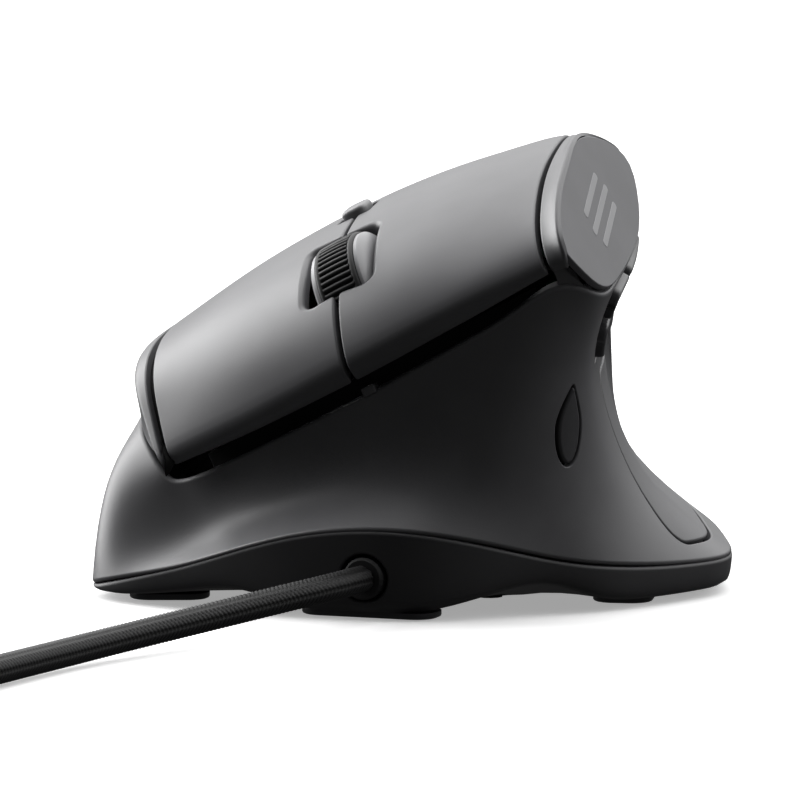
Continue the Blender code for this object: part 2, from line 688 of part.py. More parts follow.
def feet():
    places = {
        "foot_front_left": (-32.0, -44.0, 12.0, 8.0, 20.0),
        "foot_front_middle": (2.0, -49.5, 16.0, 7.0, 0.0),
        "foot_thumb": (32.0, -19.0, 9.0, 18.0, 12.0),
        "foot_rear": (-10.0, 45.0, 26.0, 8.0, 0.0),
    }
    for name, (x, y, length, width, turn) in places.items():
        frame = at(x, y, 0.0) @ Matrix.Rotation(math.radians(turn), 4, "Z")
        outline_solid(name, "foot", frame, rounded_outline(length, width, 3.4), FOOT_HEIGHT)


# Keys -----------------------------------------------------------------------------------------


def thumb_keys():
    for name, (start, end, top, bottom) in THUMB_KEYS.items():
        us = np.linspace(start, end, 6)
        vs = np.linspace(top, bottom, 5)
        obj = patch(name, "key", WALLS, us, vs, 2.0, 2.9, -1.0)
        add_bevel(obj, 0.5)
        set_pivot(obj, WALLS.at((start + end) / 2, (top + bottom) / 2))


def teardrop(margin=0.0):
    """The outline of the small key: a point at the top and a round lower end."""
    points = []
    for step in range(24):
        angle = 2 * math.pi * step / 24
        narrowing = 1.0 - 0.62 * max(0.0, math.sin(angle)) ** 1.5
        points.append(
            ((2.1 + margin) * math.cos(angle) * narrowing, (5.6 + margin) * math.sin(angle))
        )
    return points


def sniper_key():
    obj = outline_solid("sniper_key", "key", wall_frame(*SNIPER_AT, -3.2), teardrop(), 3.5)
    set_pivot(obj, WALLS.at(*SNIPER_AT))


def dpi_key():
    (low_s, low_y), (high_s, high_y) = DPI_KEY
    frame = barrel_frame(0, 0, 0)
    obj = box_between("dpi_key", "key", (low_s, low_y, 20.6), (high_s, high_y, 26.4), frame, 0.6)
    set_pivot(obj, barrel((low_s + high_s) / 2, (low_y + high_y) / 2, 24.0))


# Scroll wheel ---------------------------------------------------------------------------------


def wheel_frame(along=0.0):
    """A frame on the wheel's axis, with Z along the barrel."""
    return barrel_frame(*WHEEL_AT) @ Matrix.Rotation(math.radians(90), 4, "Y") @ at(0, 0, along)


def scroll_wheel():
    centre = barrel(*WHEEL_AT)
    half = WHEEL_WIDTH / 2
    tyre = turned("wheel_tyre", "tyre", wheel_frame(), [
        (8.3, -half), (8.3, half), (9.7, half), (WHEEL_RADIUS, half - 0.8),
        (WHEEL_RADIUS, -half + 0.8), (9.7, -half),
    ])
    core = CORE_WIDTH / 2
    hub = turned("wheel_core", "hub", wheel_frame(), [
        (AXLE_RADIUS + 0.1, -core), (AXLE_RADIUS + 0.1, core), (4.0, core), (7.2, core - 0.6),
        (9.0, half + 0.25), (9.0, half + 0.1), (8.2, half + 0.1), (8.2, -half - 0.1),
        (9.0, -half - 0.1), (9.0, -half - 0.25), (7.2, 0.6 - core), (4.0, -core),
    ])
    axle = cylinder("wheel_axle", "steel", wheel_frame(), AXLE_RADIUS, 12.2, sides=16)
    set_pivot(axle, centre)
    return tyre, hub, axle


def pivot_frame():
    """A frame on the cradle's pin, with Z along it."""
    return barrel_frame(*CRADLE_PIVOT) @ Matrix.Rotation(math.radians(90), 4, "Y")


def wheel_cradle():
    """A fork that holds the axle and rocks on the pin behind it when the wheel is pressed."""
    frame = barrel_frame(0, 0, 0)
    middle = WHEEL_AT[0]
    obj = box_between(
        "wheel_cradle", "frame", (middle - 6.4, -26.2, 2.6), (middle + 6.4, -19.3, 9.4), frame
    )
    for side, sign in (("left", 1), ("right", -1)):
        near, far = sorted((middle + sign * 5.2, middle + sign * 6.4))
        arm = box_between(f"cradle_arm_{side}", "frame", (near, -41.8, 6.0), (far, -20.0, 13.6), frame)
        join(obj, arm)
    hole = wheel_frame()
    cut(obj, cylinder("axle_hole", "frame", hole, AXLE_RADIUS + 0.3, 20.0, sides=16))
    cut(obj, cylinder("pivot_hole", "frame", pivot_frame(), 1.35, 20.0, sides=16))
    set_pivot(obj, barrel(*CRADLE_PIVOT))
    cylinder("cradle_pin", "steel", pivot_frame(), 1.0, 19.0, sides=16)


# Insides --------------------------------------------------------------------------------------


def switch(name, frame, width, length, height, plunger=0.8, plunger_at=0.0):
    """A push switch: its case and the plunger on top, standing on a frame."""
    obj = box_between(
        name, "component", (-width / 2, -length / 2, 0), (width / 2, length / 2, height), frame
    )
    reach = at(0, plunger_at, height + plunger / 2 - 0.2)
    join(obj, cylinder(f"{name}_plunger", "component", frame @ reach, 0.8, plunger + 0.4, sides=12))


def tray_height(x):
    """The height of the middle of the sloping tray above a point of the floor."""
    along = (x - BARREL_START.x) / math.cos(BARREL_SLOPE) + 5.4 * math.tan(BARREL_SLOPE)
    return barrel(along, 0.0, 5.4).z


def inner_frame():
    """The chassis: a sloping tray on four legs, with a well that carries the wheel's cradle."""
    frame = barrel_frame(0, 0, 0)
    obj = box_between("inner_frame", "frame", (4.5, -44.0, 4.7), (54.5, -5.0, 6.2), frame)
    join(obj, box_between("rear_tongue", "frame", (4.5, -6.0, 4.7), (35.0, 32.0, 6.2), frame))
    for i, (x, y) in enumerate(SCREWS_AT):
        low, high = 5.0, tray_height(x)
        join(obj, cylinder(f"leg_{i}", "frame", at(x, y, (low + high) / 2), 2.8, high - low, sides=16))
        cut(obj, cylinder(f"leg_hole_{i}", "frame", at(x, y, 7.0), 1.4, 7.0, sides=12))
    well = box_between("wheel_well", "frame", (26.6, -60.0, -6.5), (44.4, -17.0, 20.0), frame)
    cut(obj, well)
    for i, (low, high) in enumerate(((25.0, 26.4), (44.6, 46.0))):
        join(obj, box_between(f"well_wall_{i}", "frame", (low, -43.0, -5.5), (high, -17.5, 6.2), frame))
    join(obj, box_between("well_floor", "frame", (25.5, -43.0, -5.5), (45.5, -17.5, -4.2), frame))
    cut(obj, cylinder("pin_bores", "frame", pivot_frame(), 1.3, 19.6, sides=16))
    board = box_between("button_board", "board", (9.0, -43.0, 6.6), (55.5, -8.0, 8.1), frame)
    cut(board, well)


def control_switches():
    """The switches under the main buttons, the wheel and the small key behind it."""
    switch("left_switch", barrel_frame(52.0, -32.0, 8.4), 5.8, 12.8, 5.2, 1.6, -4.0)
    switch("right_switch", barrel_frame(18.0, -32.0, 8.4), 5.8, 12.8, 5.2, 1.6, -4.0)
    switch("wheel_switch", barrel_frame(29.2, -38.0, -3.9), 3.6, 6.0, 8.2)
    frame = barrel_frame(0, 0, 0)
    box_between("wheel_encoder", "component", (42.2, -42.6, 7.5), (44.3, -35.6, 13.2), frame, 0.2)
    obj = box_between("dpi_board", "board", (22.0, -28.2, 15.2), (49.0, -18.4, 16.4), frame)
    for i, along in enumerate((24.2, 46.8)):
        post = cylinder(f"dpi_post_{i}", "board", barrel_frame(along, -23.0, 12.0), 1.3, 7.2, sides=12)
        join(obj, post)
    switch("dpi_switch", barrel_frame(36.8, -24.0, 16.7), 5.0, 5.0, 2.4, 0.7)


def thumb_electronics():
    frame = wall_frame(9.07, 0.53, -8.2)
    box_between("thumb_board", "board", (-10.5, -5.6, -1.2), (10.5, 5.6, 0.0), frame)
    for along, column in ((-5.3, "front"), (5.3, "rear")):
        for up, row in ((-3.0, "lower"), (3.0, "upper")):
            switch(f"thumb_switch_{column}_{row}", frame @ at(along, up, 0.3), 4.4, 4.4, 2.2, 0.6)
    switch("sniper_switch", wall_frame(*SNIPER_AT, -7.6), 4.4, 4.4, 2.2, 0.6)


def main_electronics():
    board = box_between("main_board", "board", (-30.0, -42.0, BOARD_BOTTOM), (14.0, 33.0, BOARD_TOP))
    for i, (x, y) in enumerate(SCREWS_AT):
        cut(board, cylinder(f"board_hole_{i}", "board", at(x, y, BOARD_TOP), 3.2, 6.0, sides=16))
    x, y = SENSOR_AT
    box_between("optical_sensor", "component", (x - 5, y - 6, 3.6), (x + 5, y + 6, 5.9), bevel=0.2)
    turned("sensor_lens", "lens", at(x, y, 0.0), [
        (0.0, 1.2), (3.6, 1.2), (3.6, 2.3), (2.6, 3.1), (0.0, 3.1)
    ], sides=24, flip=True)
    box_between("controller_chip", "component", (-14, 9, BOARD_TOP + 0.3), (-7, 16, 8.9), bevel=0.2)
    box_between("cable_connector", "component", (0.0, -41.0, BOARD_TOP + 0.3), (9.0, -35.5, 13.0))


def case_screws():
    for i, (x, y) in enumerate(SCREWS_AT):
        turned(f"case_screw_{i + 1}", "steel", at(x, y, 0.0), [
            (0.0, 1.3), (2.0, 1.3), (2.0, 2.6), (1.1, 2.6), (1.1, 9.6), (0.0, 10.2)
        ], sides=12, flip=True)


# Cable ----------------------------------------------------------------------------------------


def cable_exit_frame(out):
    """A frame at the cable's exit, with Z pointing out of the mouse."""
    x, y, z = CABLE_EXIT
    return at(x, y - out, z) @ Matrix.Rotation(math.radians(90), 4, "X")


def strain_relief():
    turned("strain_relief", "grommet", cable_exit_frame(0.0), [
        (0.0, -6.5), (2.4, -6.5), (2.9, -3.6), (3.15, -3.2), (3.15, -0.4), (2.75, 0.0), (0.0, 0.0)
    ], sides=24)


def tube(name, slot, route, count):
    """A tube of the cable's size along a smooth curve through the points of its route."""
    controls = spline_controls(np.array(route), False)
    places = np.linspace(0, len(route) - 1, count)
    column = np.clip(np.floor(places).astype(int), 0, len(controls) - 4)
    weights = spline_weights(places - column)
    points = sum(weights[k][:, None] * controls[column + k] for k in range(4))
    data = bpy.data.curves.new(name, "CURVE")
    data.dimensions = "3D"
    data.bevel_depth = CABLE / 2 * MM
    data.bevel_resolution = 2
    data.use_fill_caps = True
    spline = data.splines.new("POLY")
    spline.points.add(count - 1)
    for spot, point in zip(spline.points, points):
        spot.co = (*(MM * value for value in point), 1.0)
    obj = bpy.data.objects.new(name, data)
    PARTS.objects.link(obj)
    obj.parent = ROOT
    data.materials.append(MATERIALS[slot])


def cable_coil():
    """The coil's outer shape, with a shallow groove round it where the tie sits."""
    outer = COIL_INNER + COIL_PITCH * COIL_TURNS_WIDE
    top = COIL_PITCH * COIL_TURNS_HIGH
    edge = 1.4
    coil = turned("cable_coil", "cable", at(*COIL_AT, 0.0), [
        (COIL_INNER, edge), (COIL_INNER, top - edge), (COIL_INNER + edge, top), (outer - edge, top),
        (outer, top - edge), (outer, edge), (outer - edge, 0.0), (COIL_INNER + edge, 0.0),
    ], sides=36)
    x, y = COIL_AT
    section = at(x - (COIL_INNER + outer) / 2, y, top / 2)
    wide = outer - COIL_INNER
    tie = box("cable_tie", "grommet", section, (wide, 7.0, top))
    cut(tie, box("tie_inside", "grommet", section, (wide - 2.4, 9.0, top - 2.4)))
    groove = box("tie_groove", "grommet", section, (wide + 2.0, 7.6, top + 2.0))
    cut(groove, box("tie_core", "grommet", section, (wide - 3.0, 9.0, top - 3.0)))
    cut(coil, groove)


def cable_plug():
    """The plug, which lies on top of the coil."""
    x, y = COIL_AT
    rest = COIL_PITCH * COIL_TURNS_HIGH + 0.3
    axis = at(x + PLUG_OFFSET, y, rest + 4.0)
    along = axis @ Matrix.Rotation(math.radians(-90), 4, "X")
    turned("plug_relief", "plug", along @ at(0, 0, -12.0), [
        (0.0, 0.0), (2.6, 0.0), (3.4, 8.0), (0.0, 8.0)
    ], sides=20, flip=True)
    body = rounded_outline(15.6, 24.0, 2.0)
    flat = axis @ at(0, 8.3, -4.0)
    obj = outline_solid("plug_body", "plug", flat, body, 8.0)
    add_bevel(obj, 0.8)
    shell = box("plug_shell", "steel", axis @ at(0, 26.6, 0), (12.0, 12.0, 4.5))
    tongue = box("plug_opening", "steel", axis @ at(0, 29.0, 1.0), (11.2, 12.0, 1.7))
    cut(shell, tongue)


def cable():
    strain_relief()
    tube("cable_lead", "cable", CABLE_ROUTE, 44)
    cable_coil()
    x, y = COIL_AT
    rest = COIL_PITCH * COIL_TURNS_HIGH + 0.3 + CABLE / 2
    route = [(x + dx, y + dy, rest + dz) for dx, dy, dz in TAIL_ROUTE]
    tube("cable_tail", "cable", route, 14)
    cable_plug()


def build():
    main_buttons()
    lower_cap()
    crest_cap()
    crest_plate()
    palm_cover()
    body_shell()
    thumb_panel()
    base_shell()
    feet()
    thumb_keys()
    sniper_key()
    dpi_key()
    scroll_wheel()
    wheel_cradle()
    inner_frame()
    control_switches()
    thumb_electronics()
    main_electronics()
    case_screws()
    cable()


build()
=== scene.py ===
"""Finished look of a wired upright mouse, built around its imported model.

Lengths are in millimetres here and are turned into metres when a mesh is made. A place on the
sloping barrel is given as (along, y, rise), as in the model.
"""

import math

import bmesh
import bpy
import numpy as np
from mathutils import Matrix, Vector
from mathutils.geometry import delaunay_2d_cdt


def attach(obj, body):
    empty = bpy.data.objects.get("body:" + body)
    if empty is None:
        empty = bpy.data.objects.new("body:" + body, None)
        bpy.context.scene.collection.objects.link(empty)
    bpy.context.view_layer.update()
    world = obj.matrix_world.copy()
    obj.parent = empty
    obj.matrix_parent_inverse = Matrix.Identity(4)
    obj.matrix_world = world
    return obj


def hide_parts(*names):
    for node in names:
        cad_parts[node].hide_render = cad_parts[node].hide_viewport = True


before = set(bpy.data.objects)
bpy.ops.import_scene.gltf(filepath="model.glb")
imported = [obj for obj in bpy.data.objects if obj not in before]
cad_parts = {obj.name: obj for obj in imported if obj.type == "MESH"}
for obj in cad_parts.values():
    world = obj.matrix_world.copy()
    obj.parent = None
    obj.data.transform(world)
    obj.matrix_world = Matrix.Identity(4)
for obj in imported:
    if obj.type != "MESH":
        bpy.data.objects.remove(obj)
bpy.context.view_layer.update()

bl_info = {
    "name": "Upright Mouse",
    "version": (1, 0, 0),
    "blender": (4, 5, 0),
    "location": "3D View > Sidebar > Mouse",
    "description": "Builds the finished pieces of a wired upright mouse around its packed model",
    "category": "Object",
}

MM = 0.001
HOUSING = "housing"
BARREL_SLOPE = math.radians(27.14)
BARREL_START = np.array([-28.6, 0.0, 19.3])
ACROSS = np.array([math.cos(BARREL_SLOPE), 0.0, math.sin(BARREL_SLOPE)])
UPRIGHT = np.array([-math.sin(BARREL_SLOPE), 0.0, math.cos(BARREL_SLOPE)])
WHEEL_AT = (35.5, -39.1, 11.4)
CREST_EDGE = 9.0
COIL_AT = np.array([-57.1, -146.9])
CABLE_ROUTE = (
    (3.9, -58.2, 6.1), (2.9, -64.0, 6.0), (0.6, -70.0, 5.6), (-2.5, -76.0, 5.0),
    (-6.5, -84.0, 4.2), (-10.4, -92.0, 3.45), (-13.7, -100.0, 2.85), (-16.4, -108.0, 2.4),
    (-18.3, -116.0, 2.16), (-19.6, -124.0, 2.1), (-20.8, -133.0, 2.1), (-22.2, -142.5, 2.1),
    (-24.6, -151.5, 2.1), (-28.5, -160.0, 2.1),
)
TAIL_ROUTE = (
    (13.0, -20.5, 18.95), (6.0, -23.6, 18.95), (-1.0, -24.0, 19.25), (-6.4, -20.8, 19.95),
    (-8.7, -16.0, 20.75), (-9.0, -12.3, 20.9),
)
THUMB_KEYS = {
    "thumb_key_front_upper": (8.02, 9.00, 0.13, 0.50),
    "thumb_key_front_lower": (8.02, 9.00, 0.57, 0.95),
    "thumb_key_rear_upper": (9.10, 10.12, 0.13, 0.50),
    "thumb_key_rear_lower": (9.10, 10.12, 0.57, 0.95),
}


# Sizes and colours a user may change ---------------------------------------------------------


def length(name, words, default):
    """A length in metres with its own default, shown with its unit."""
    return bpy.props.FloatProperty(
        name=name, description=words, default=default * MM, min=0.0, subtype="DISTANCE",
        unit="LENGTH",
    )


def tone(name, words, default):
    """A colour with its own default."""
    return bpy.props.FloatVectorProperty(
        name=name, description=words, default=default, min=0.0, max=1.0, size=3, subtype="COLOR"
    )


class HousingSettings(bpy.types.PropertyGroup):
    wall: length("Wall", "Thickness of the moulded walls", 1.7)
    cap_wall: length("Cap wall", "Thickness of the end caps", 1.2)
    roll: length("Edge", "Radius rolled over at the seams", 0.40)
    slot_roll: length("Wheel slot edge", "Radius rolled over round the wheel's slot", 0.95)
    spacing: length("Mesh spacing", "Distance between points on the moulded surfaces", 1.7)
    shell_colour: tone("Shell", "Colour of the shell", (0.118, 0.118, 0.124))
    base_colour: tone("Base", "Colour of the base", (0.045, 0.045, 0.048))
    plate_colour: tone("Crest plate", "Colour of the plate on the crest", (0.130, 0.130, 0.138))
    thumb_colour: tone("Thumb keys", "Colour of the keys on the walls", (0.060, 0.060, 0.064))
    key_colour: tone("Keys", "Colour of the small keys", (0.200, 0.200, 0.206))


class WheelSettings(bpy.types.PropertyGroup):
    ribs: bpy.props.IntProperty(name="Ribs", description="Ribs round the tyre", default=58, min=8)
    rib_radius: length("Rib", "Radius of a tyre rib", 0.37)
    tyre_width: length("Tyre width", "Width of the rubber tyre", 6.7)
    tyre_radius: length("Tyre radius", "Radius of the tyre over its ribs", 9.6)
    hub_colour: tone("Hub", "Colour of the wheel's sides", (0.360, 0.360, 0.370))
    tyre_colour: tone("Tyre", "Colour of the tyre", (0.016, 0.016, 0.017))


class CableSettings(bpy.types.PropertyGroup):
    diameter: length("Diameter", "Thickness of the braided cable", 4.1)
    strand_pitch: length("Strand pitch", "Distance between strands along the cable", 0.78)
    strand_height: length("Strand height", "How far the strands stand out", 0.25)
    lanes: bpy.props.IntProperty(
        name="Lanes", description="Lanes of strands round the cable", default=6, min=2
    )
    colour: tone("Braid", "Colour of the braid", (0.016, 0.016, 0.017))


class StageSettings(bpy.types.PropertyGroup):
    back_light: bpy.props.FloatProperty(
        name="Back light", description="Brightness of the studio behind the mouse", default=2.2
    )
    front_light: bpy.props.FloatProperty(
        name="Front light", description="Brightness of the studio in front of it", default=0.05
    )
    top_light: bpy.props.FloatProperty(
        name="Top light", description="Power of the soft light overhead", default=3.0,
        subtype="POWER",
    )
    left_light: bpy.props.FloatProperty(
        name="Left light", description="Power of the soft light on the left", default=20.0,
        subtype="POWER",
    )
    focal_length: bpy.props.FloatProperty(
        name="Focal length", description="Lens of the camera, in millimetres", default=277.9
    )


# Surfaces ------------------------------------------------------------------------------------


def barrel(along, y, rise):
    """The point that a place on the barrel stands for."""
    return BARREL_START + ACROSS * along + UPRIGHT * rise + np.array([0.0, y, 0.0])


def spline_controls(rows, closed):
    """B-spline controls for a curve, or a row of curves, that passes through the given rows."""
    rows = np.asarray(rows, float)
    count = len(rows)
    weights = np.zeros((count, count))
    for i in range(count):
        if closed or 0 < i < count - 1:
            weights[i, i] = 4 / 6
            weights[i, i - 1] = 1 / 6
            weights[i, (i + 1) % count] = 1 / 6
        else:
            weights[i, i] = 1
    controls = np.linalg.solve(weights, rows.reshape(count, -1)).reshape(rows.shape)
    if closed:
        return np.concatenate([controls[-1:], controls, controls[:2]])
    first = 2 * controls[:1] - controls[1:2]
    last = 2 * controls[-1:] - controls[-2:-1]
    return np.concatenate([first, controls, last])


def spline_weights(offset):
    """The four B-spline weights at an offset of 0 to 1 within a span."""
    return (
        (1 - offset) ** 3 / 6,
        (3 * offset**3 - 6 * offset**2 + 4) / 6,
        (-3 * offset**3 + 3 * offset**2 + 3 * offset + 1) / 6,
        offset**3 / 6,
    )


def smooth_path(route, count):
    """Evenly counted points along the smooth curve through a route."""
    controls = spline_controls(np.array(route, float), False)
    places = np.linspace(0, len(route) - 1, count)
    column = np.clip(np.floor(places).astype(int), 0, len(controls) - 4)
    weights = spline_weights(places - column)
    return sum(weights[k][:, None] * controls[column + k] for k in range(4))


def unit(vectors):
    return vectors / np.maximum(np.linalg.norm(vectors, axis=-1, keepdims=True), 1e-12)


class Surface:
    """A smooth surface through a grid of points, with a flat map of it in millimetres.

    Places are (u, v), counting stations and rows, or (x, y) on the flat map, whose distances
    are nearly those on the surface. `facing` turns the normals outwards.
    """

    def __init__(self, stations, facing, middle, closed_from=None):
        closed = closed_from is not None
        self.period = len(stations) if closed else None
        controls = spline_controls(stations, closed)
        turned = spline_controls(controls.transpose(1, 0, 2), False)
        self.controls = turned.transpose(1, 0, 2)
        self.facing = facing
        start = closed_from if closed else 0
        spans = self.period if closed else len(stations) - 1
        self.us = np.linspace(start, start + spans, spans * 8 + 1)
        self.vs = np.linspace(0, self.controls.shape[1] - 3, (self.controls.shape[1] - 3) * 8 + 1)
        self.xs = self.run(self.at_uv(self.us, middle[1]))
        self.ys = self.run(self.at_uv(middle[0], self.vs))

    @staticmethod
    def run(points):
        steps = np.linalg.norm(np.diff(points, axis=0), axis=1)
        return np.concatenate([[0.0], np.cumsum(steps)])

    def at_uv(self, u, v):
        u, v = np.broadcast_arrays(np.asarray(u, float), np.asarray(v, float))
        if self.period:
            u = np.mod(u, self.period)
        column = np.clip(np.floor(u).astype(int), 0, self.controls.shape[0] - 4)
        row = np.clip(np.floor(v).astype(int), 0, self.controls.shape[1] - 4)
        total = np.zeros(u.shape + (3,))
        for i, across in enumerate(spline_weights(u - column)):
            for j, along in enumerate(spline_weights(v - row)):
                total += (across * along)[..., None] * self.controls[column + i, row + j]
        return total

    def normal_uv(self, u, v):
        step = 0.01
        across = self.at_uv(np.asarray(u) + step, v) - self.at_uv(np.asarray(u) - step, v)
        along = self.at_uv(u, np.asarray(v) + step) - self.at_uv(u, np.asarray(v) - step)
        return unit(np.cross(across, along)) * self.facing

    def uv(self, xy):
        return np.stack(
            [np.interp(xy[..., 0], self.xs, self.us), np.interp(xy[..., 1], self.ys, self.vs)], -1
        )

    def xy(self, uv):
        uv = np.asarray(uv, float)
        return np.stack(
            [np.interp(uv[..., 0], self.us, self.xs), np.interp(uv[..., 1], self.vs, self.ys)], -1
        )

    def at(self, xy):
        uv = self.uv(xy)
        return self.at_uv(uv[..., 0], uv[..., 1])

    def normal(self, xy):
        uv = self.uv(xy)
        return self.normal_uv(uv[..., 0], uv[..., 1])

    def seek(self, origin, right, up, targets, guess):
        """The flat places whose points lie at (right, up) targets as seen along a view."""
        places = np.repeat(self.xy(np.array([guess], float)), len(targets), axis=0)
        targets = np.asarray(targets, float)
        axes = np.stack([right, up], axis=1)
        step = 0.05
        for _ in range(30):
            error = (self.at(places) - origin) @ axes - targets
            slopes = [
                ((self.at(places + shift) - self.at(places - shift)) @ axes) / (2 * step)
                for shift in (np.array([step, 0.0]), np.array([0.0, step]))
            ]
            (a, b), (c, d) = slopes[0].T, slopes[1].T
            whole = a * d - b * c
            along_x = (d * error[:, 0] - c * error[:, 1]) / whole
            along_y = (a * error[:, 1] - b * error[:, 0]) / whole
            move = np.stack([along_x, along_y], axis=1)
            places = places - np.clip(move, -3.0, 3.0)
        return places

    def turn_towards(self, direction, place):
        """Turns the normals round if the one at a place points away from a direction."""
        if self.normal_uv(*place) @ direction < 0:
            self.facing = -self.facing


def top_surface():
    """The buttons, their end caps and the palm: 10 stations across, 11 rows front to back."""
    left_edge = [
        (-30.6, -48.0, 20.6), (-33.0, -47.0, 21.9), (-35.2, -45.0, 23.4), (-37.4, -41.5, 25.1),
        (-39.6, -36.5, 26.8), (-42.1, -29.0, 28.3), (-43.7, -17.0, 27.9), (-44.0, -3.0, 26.0),
        (-42.5, 13.0, 22.0), (-38.5, 29.0, 17.0), (-31.0, 43.0, 12.0),
    ]
    lower_cap = [
        (-0.7, -48.6, 1.0), (-1.2, -49.4, 2.6), (-2.0, -48.4, 5.4), (-2.6, -45.6, 10.2),
        (-3.4, -41.5, 15.0), (-4.3, -34.0, 19.0), (-5.0, -21.5, 21.2), (-5.5, -5.0, 21.4),
        (-6.0, 14.0, 18.6), (-6.0, 31.0, 11.4),
    ]
    stations = [
        [(0, -48.6, 0.7), (0, -50.0, 2.6), (0, -49.3, 5.4), (0, -46.6, 10.2), (0, -42.6, 15.3),
         (0, -34.5, 20.1), (0, -21.5, 22.9), (0, -5.0, 23.4), (0, 14.0, 20.6), (0, 31.0, 13.0)],
        [(12, -50.2, -0.2), (12, -52.2, 2.0), (12, -51.7, 5.2), (12, -49.0, 10.6), (12, -44.0, 16.2),
         (12, -34.8, 21.4), (12, -21.0, 24.6), (12, -4.5, 25.2), (12, 14.0, 22.6), (12, 32.0, 15.5)],
        [(24, -51.2, -0.6), (24, -53.6, 1.8), (24, -53.2, 5.2), (24, -50.3, 10.7), (24, -44.4, 16.6),
         (24, -34.5, 21.9), (24, -20.6, 25.4), (24, -4.0, 26.2), (24, 14.0, 24.0), (24, 32.5, 16.6)],
        [(36, -51.5, -0.7), (36, -54.1, 1.9), (36, -53.7, 5.4), (36, -50.3, 11.0), (36, -43.8, 16.9),
         (36, -33.6, 22.0), (36, -20.0, 25.4), (36, -4.0, 26.2), (35, 14.0, 24.3), (32.5, 32.0, 16.6)],
        [(47, -51.1, -0.3), (47, -53.6, 2.1), (47, -53.2, 5.4), (47, -49.8, 10.4), (47, -43.0, 15.9),
         (47, -33.0, 20.8), (47, -19.6, 24.5), (46.6, -4.0, 25.3), (44.5, 13.0, 23.6),
         (39.5, 30.5, 16.2)],
        [(57, -50.2, 0.3), (57, -52.3, 2.2), (57, -51.8, 5.2), (57, -48.2, 9.4), (57, -41.6, 14.4),
         (57, -32.0, 19.1), (57, -19.2, 22.9), (56, -4.5, 23.8), (52.5, 12.0, 22.3),
         (45.5, 28.5, 15.6)],
        [(66.6, -49.0, 1.0), (66.6, -50.4, 2.4), (66.6, -49.6, 5.2), (66.6, -46.2, 8.8),
         (66.6, -40.0, 12.9), (66.6, -30.8, 17.2), (66.6, -19.0, 20.8), (64.4, -5.5, 21.9),
         (59.6, 10.5, 20.6), (50.8, 26.5, 14.2)],
    ]
    crest_front = [
        (68.6, -48.4, 0.4), (70.0, -50.4, 2.2), (70.4, -50.6, 5.4), (70.4, -46.8, 9.0),
        (70.4, -40.4, 13.0), (70.4, -30.8, 17.3), (70.2, -18.0, 20.6),
    ]
    crest_rear = [(25.2, -2.0, 66.0), (18.3, 11.0, 62.0), (13.6, 26.5, 49.5)]
    rear_edge = [
        (-26.0, 47.5, 11.2), (-21.0, 51.0, 10.8), (-14.5, 54.3, 10.6), (-8.5, 56.2, 10.8),
        (-3.0, 57.0, 11.6), (1.5, 56.3, 13.2), (4.6, 54.0, 16.0), (6.6, 50.5, 20.0), (7.5, 46.5, 25.5),
    ]
    grid = [left_edge]
    for rows, end in zip([lower_cap] + stations, rear_edge):
        grid.append([barrel(*row) for row in rows] + [end])
    grid.append([barrel(*row) for row in crest_front] + crest_rear + [rear_edge[-1]])
    return Surface(grid, 1.0, (5.0, 4.5))


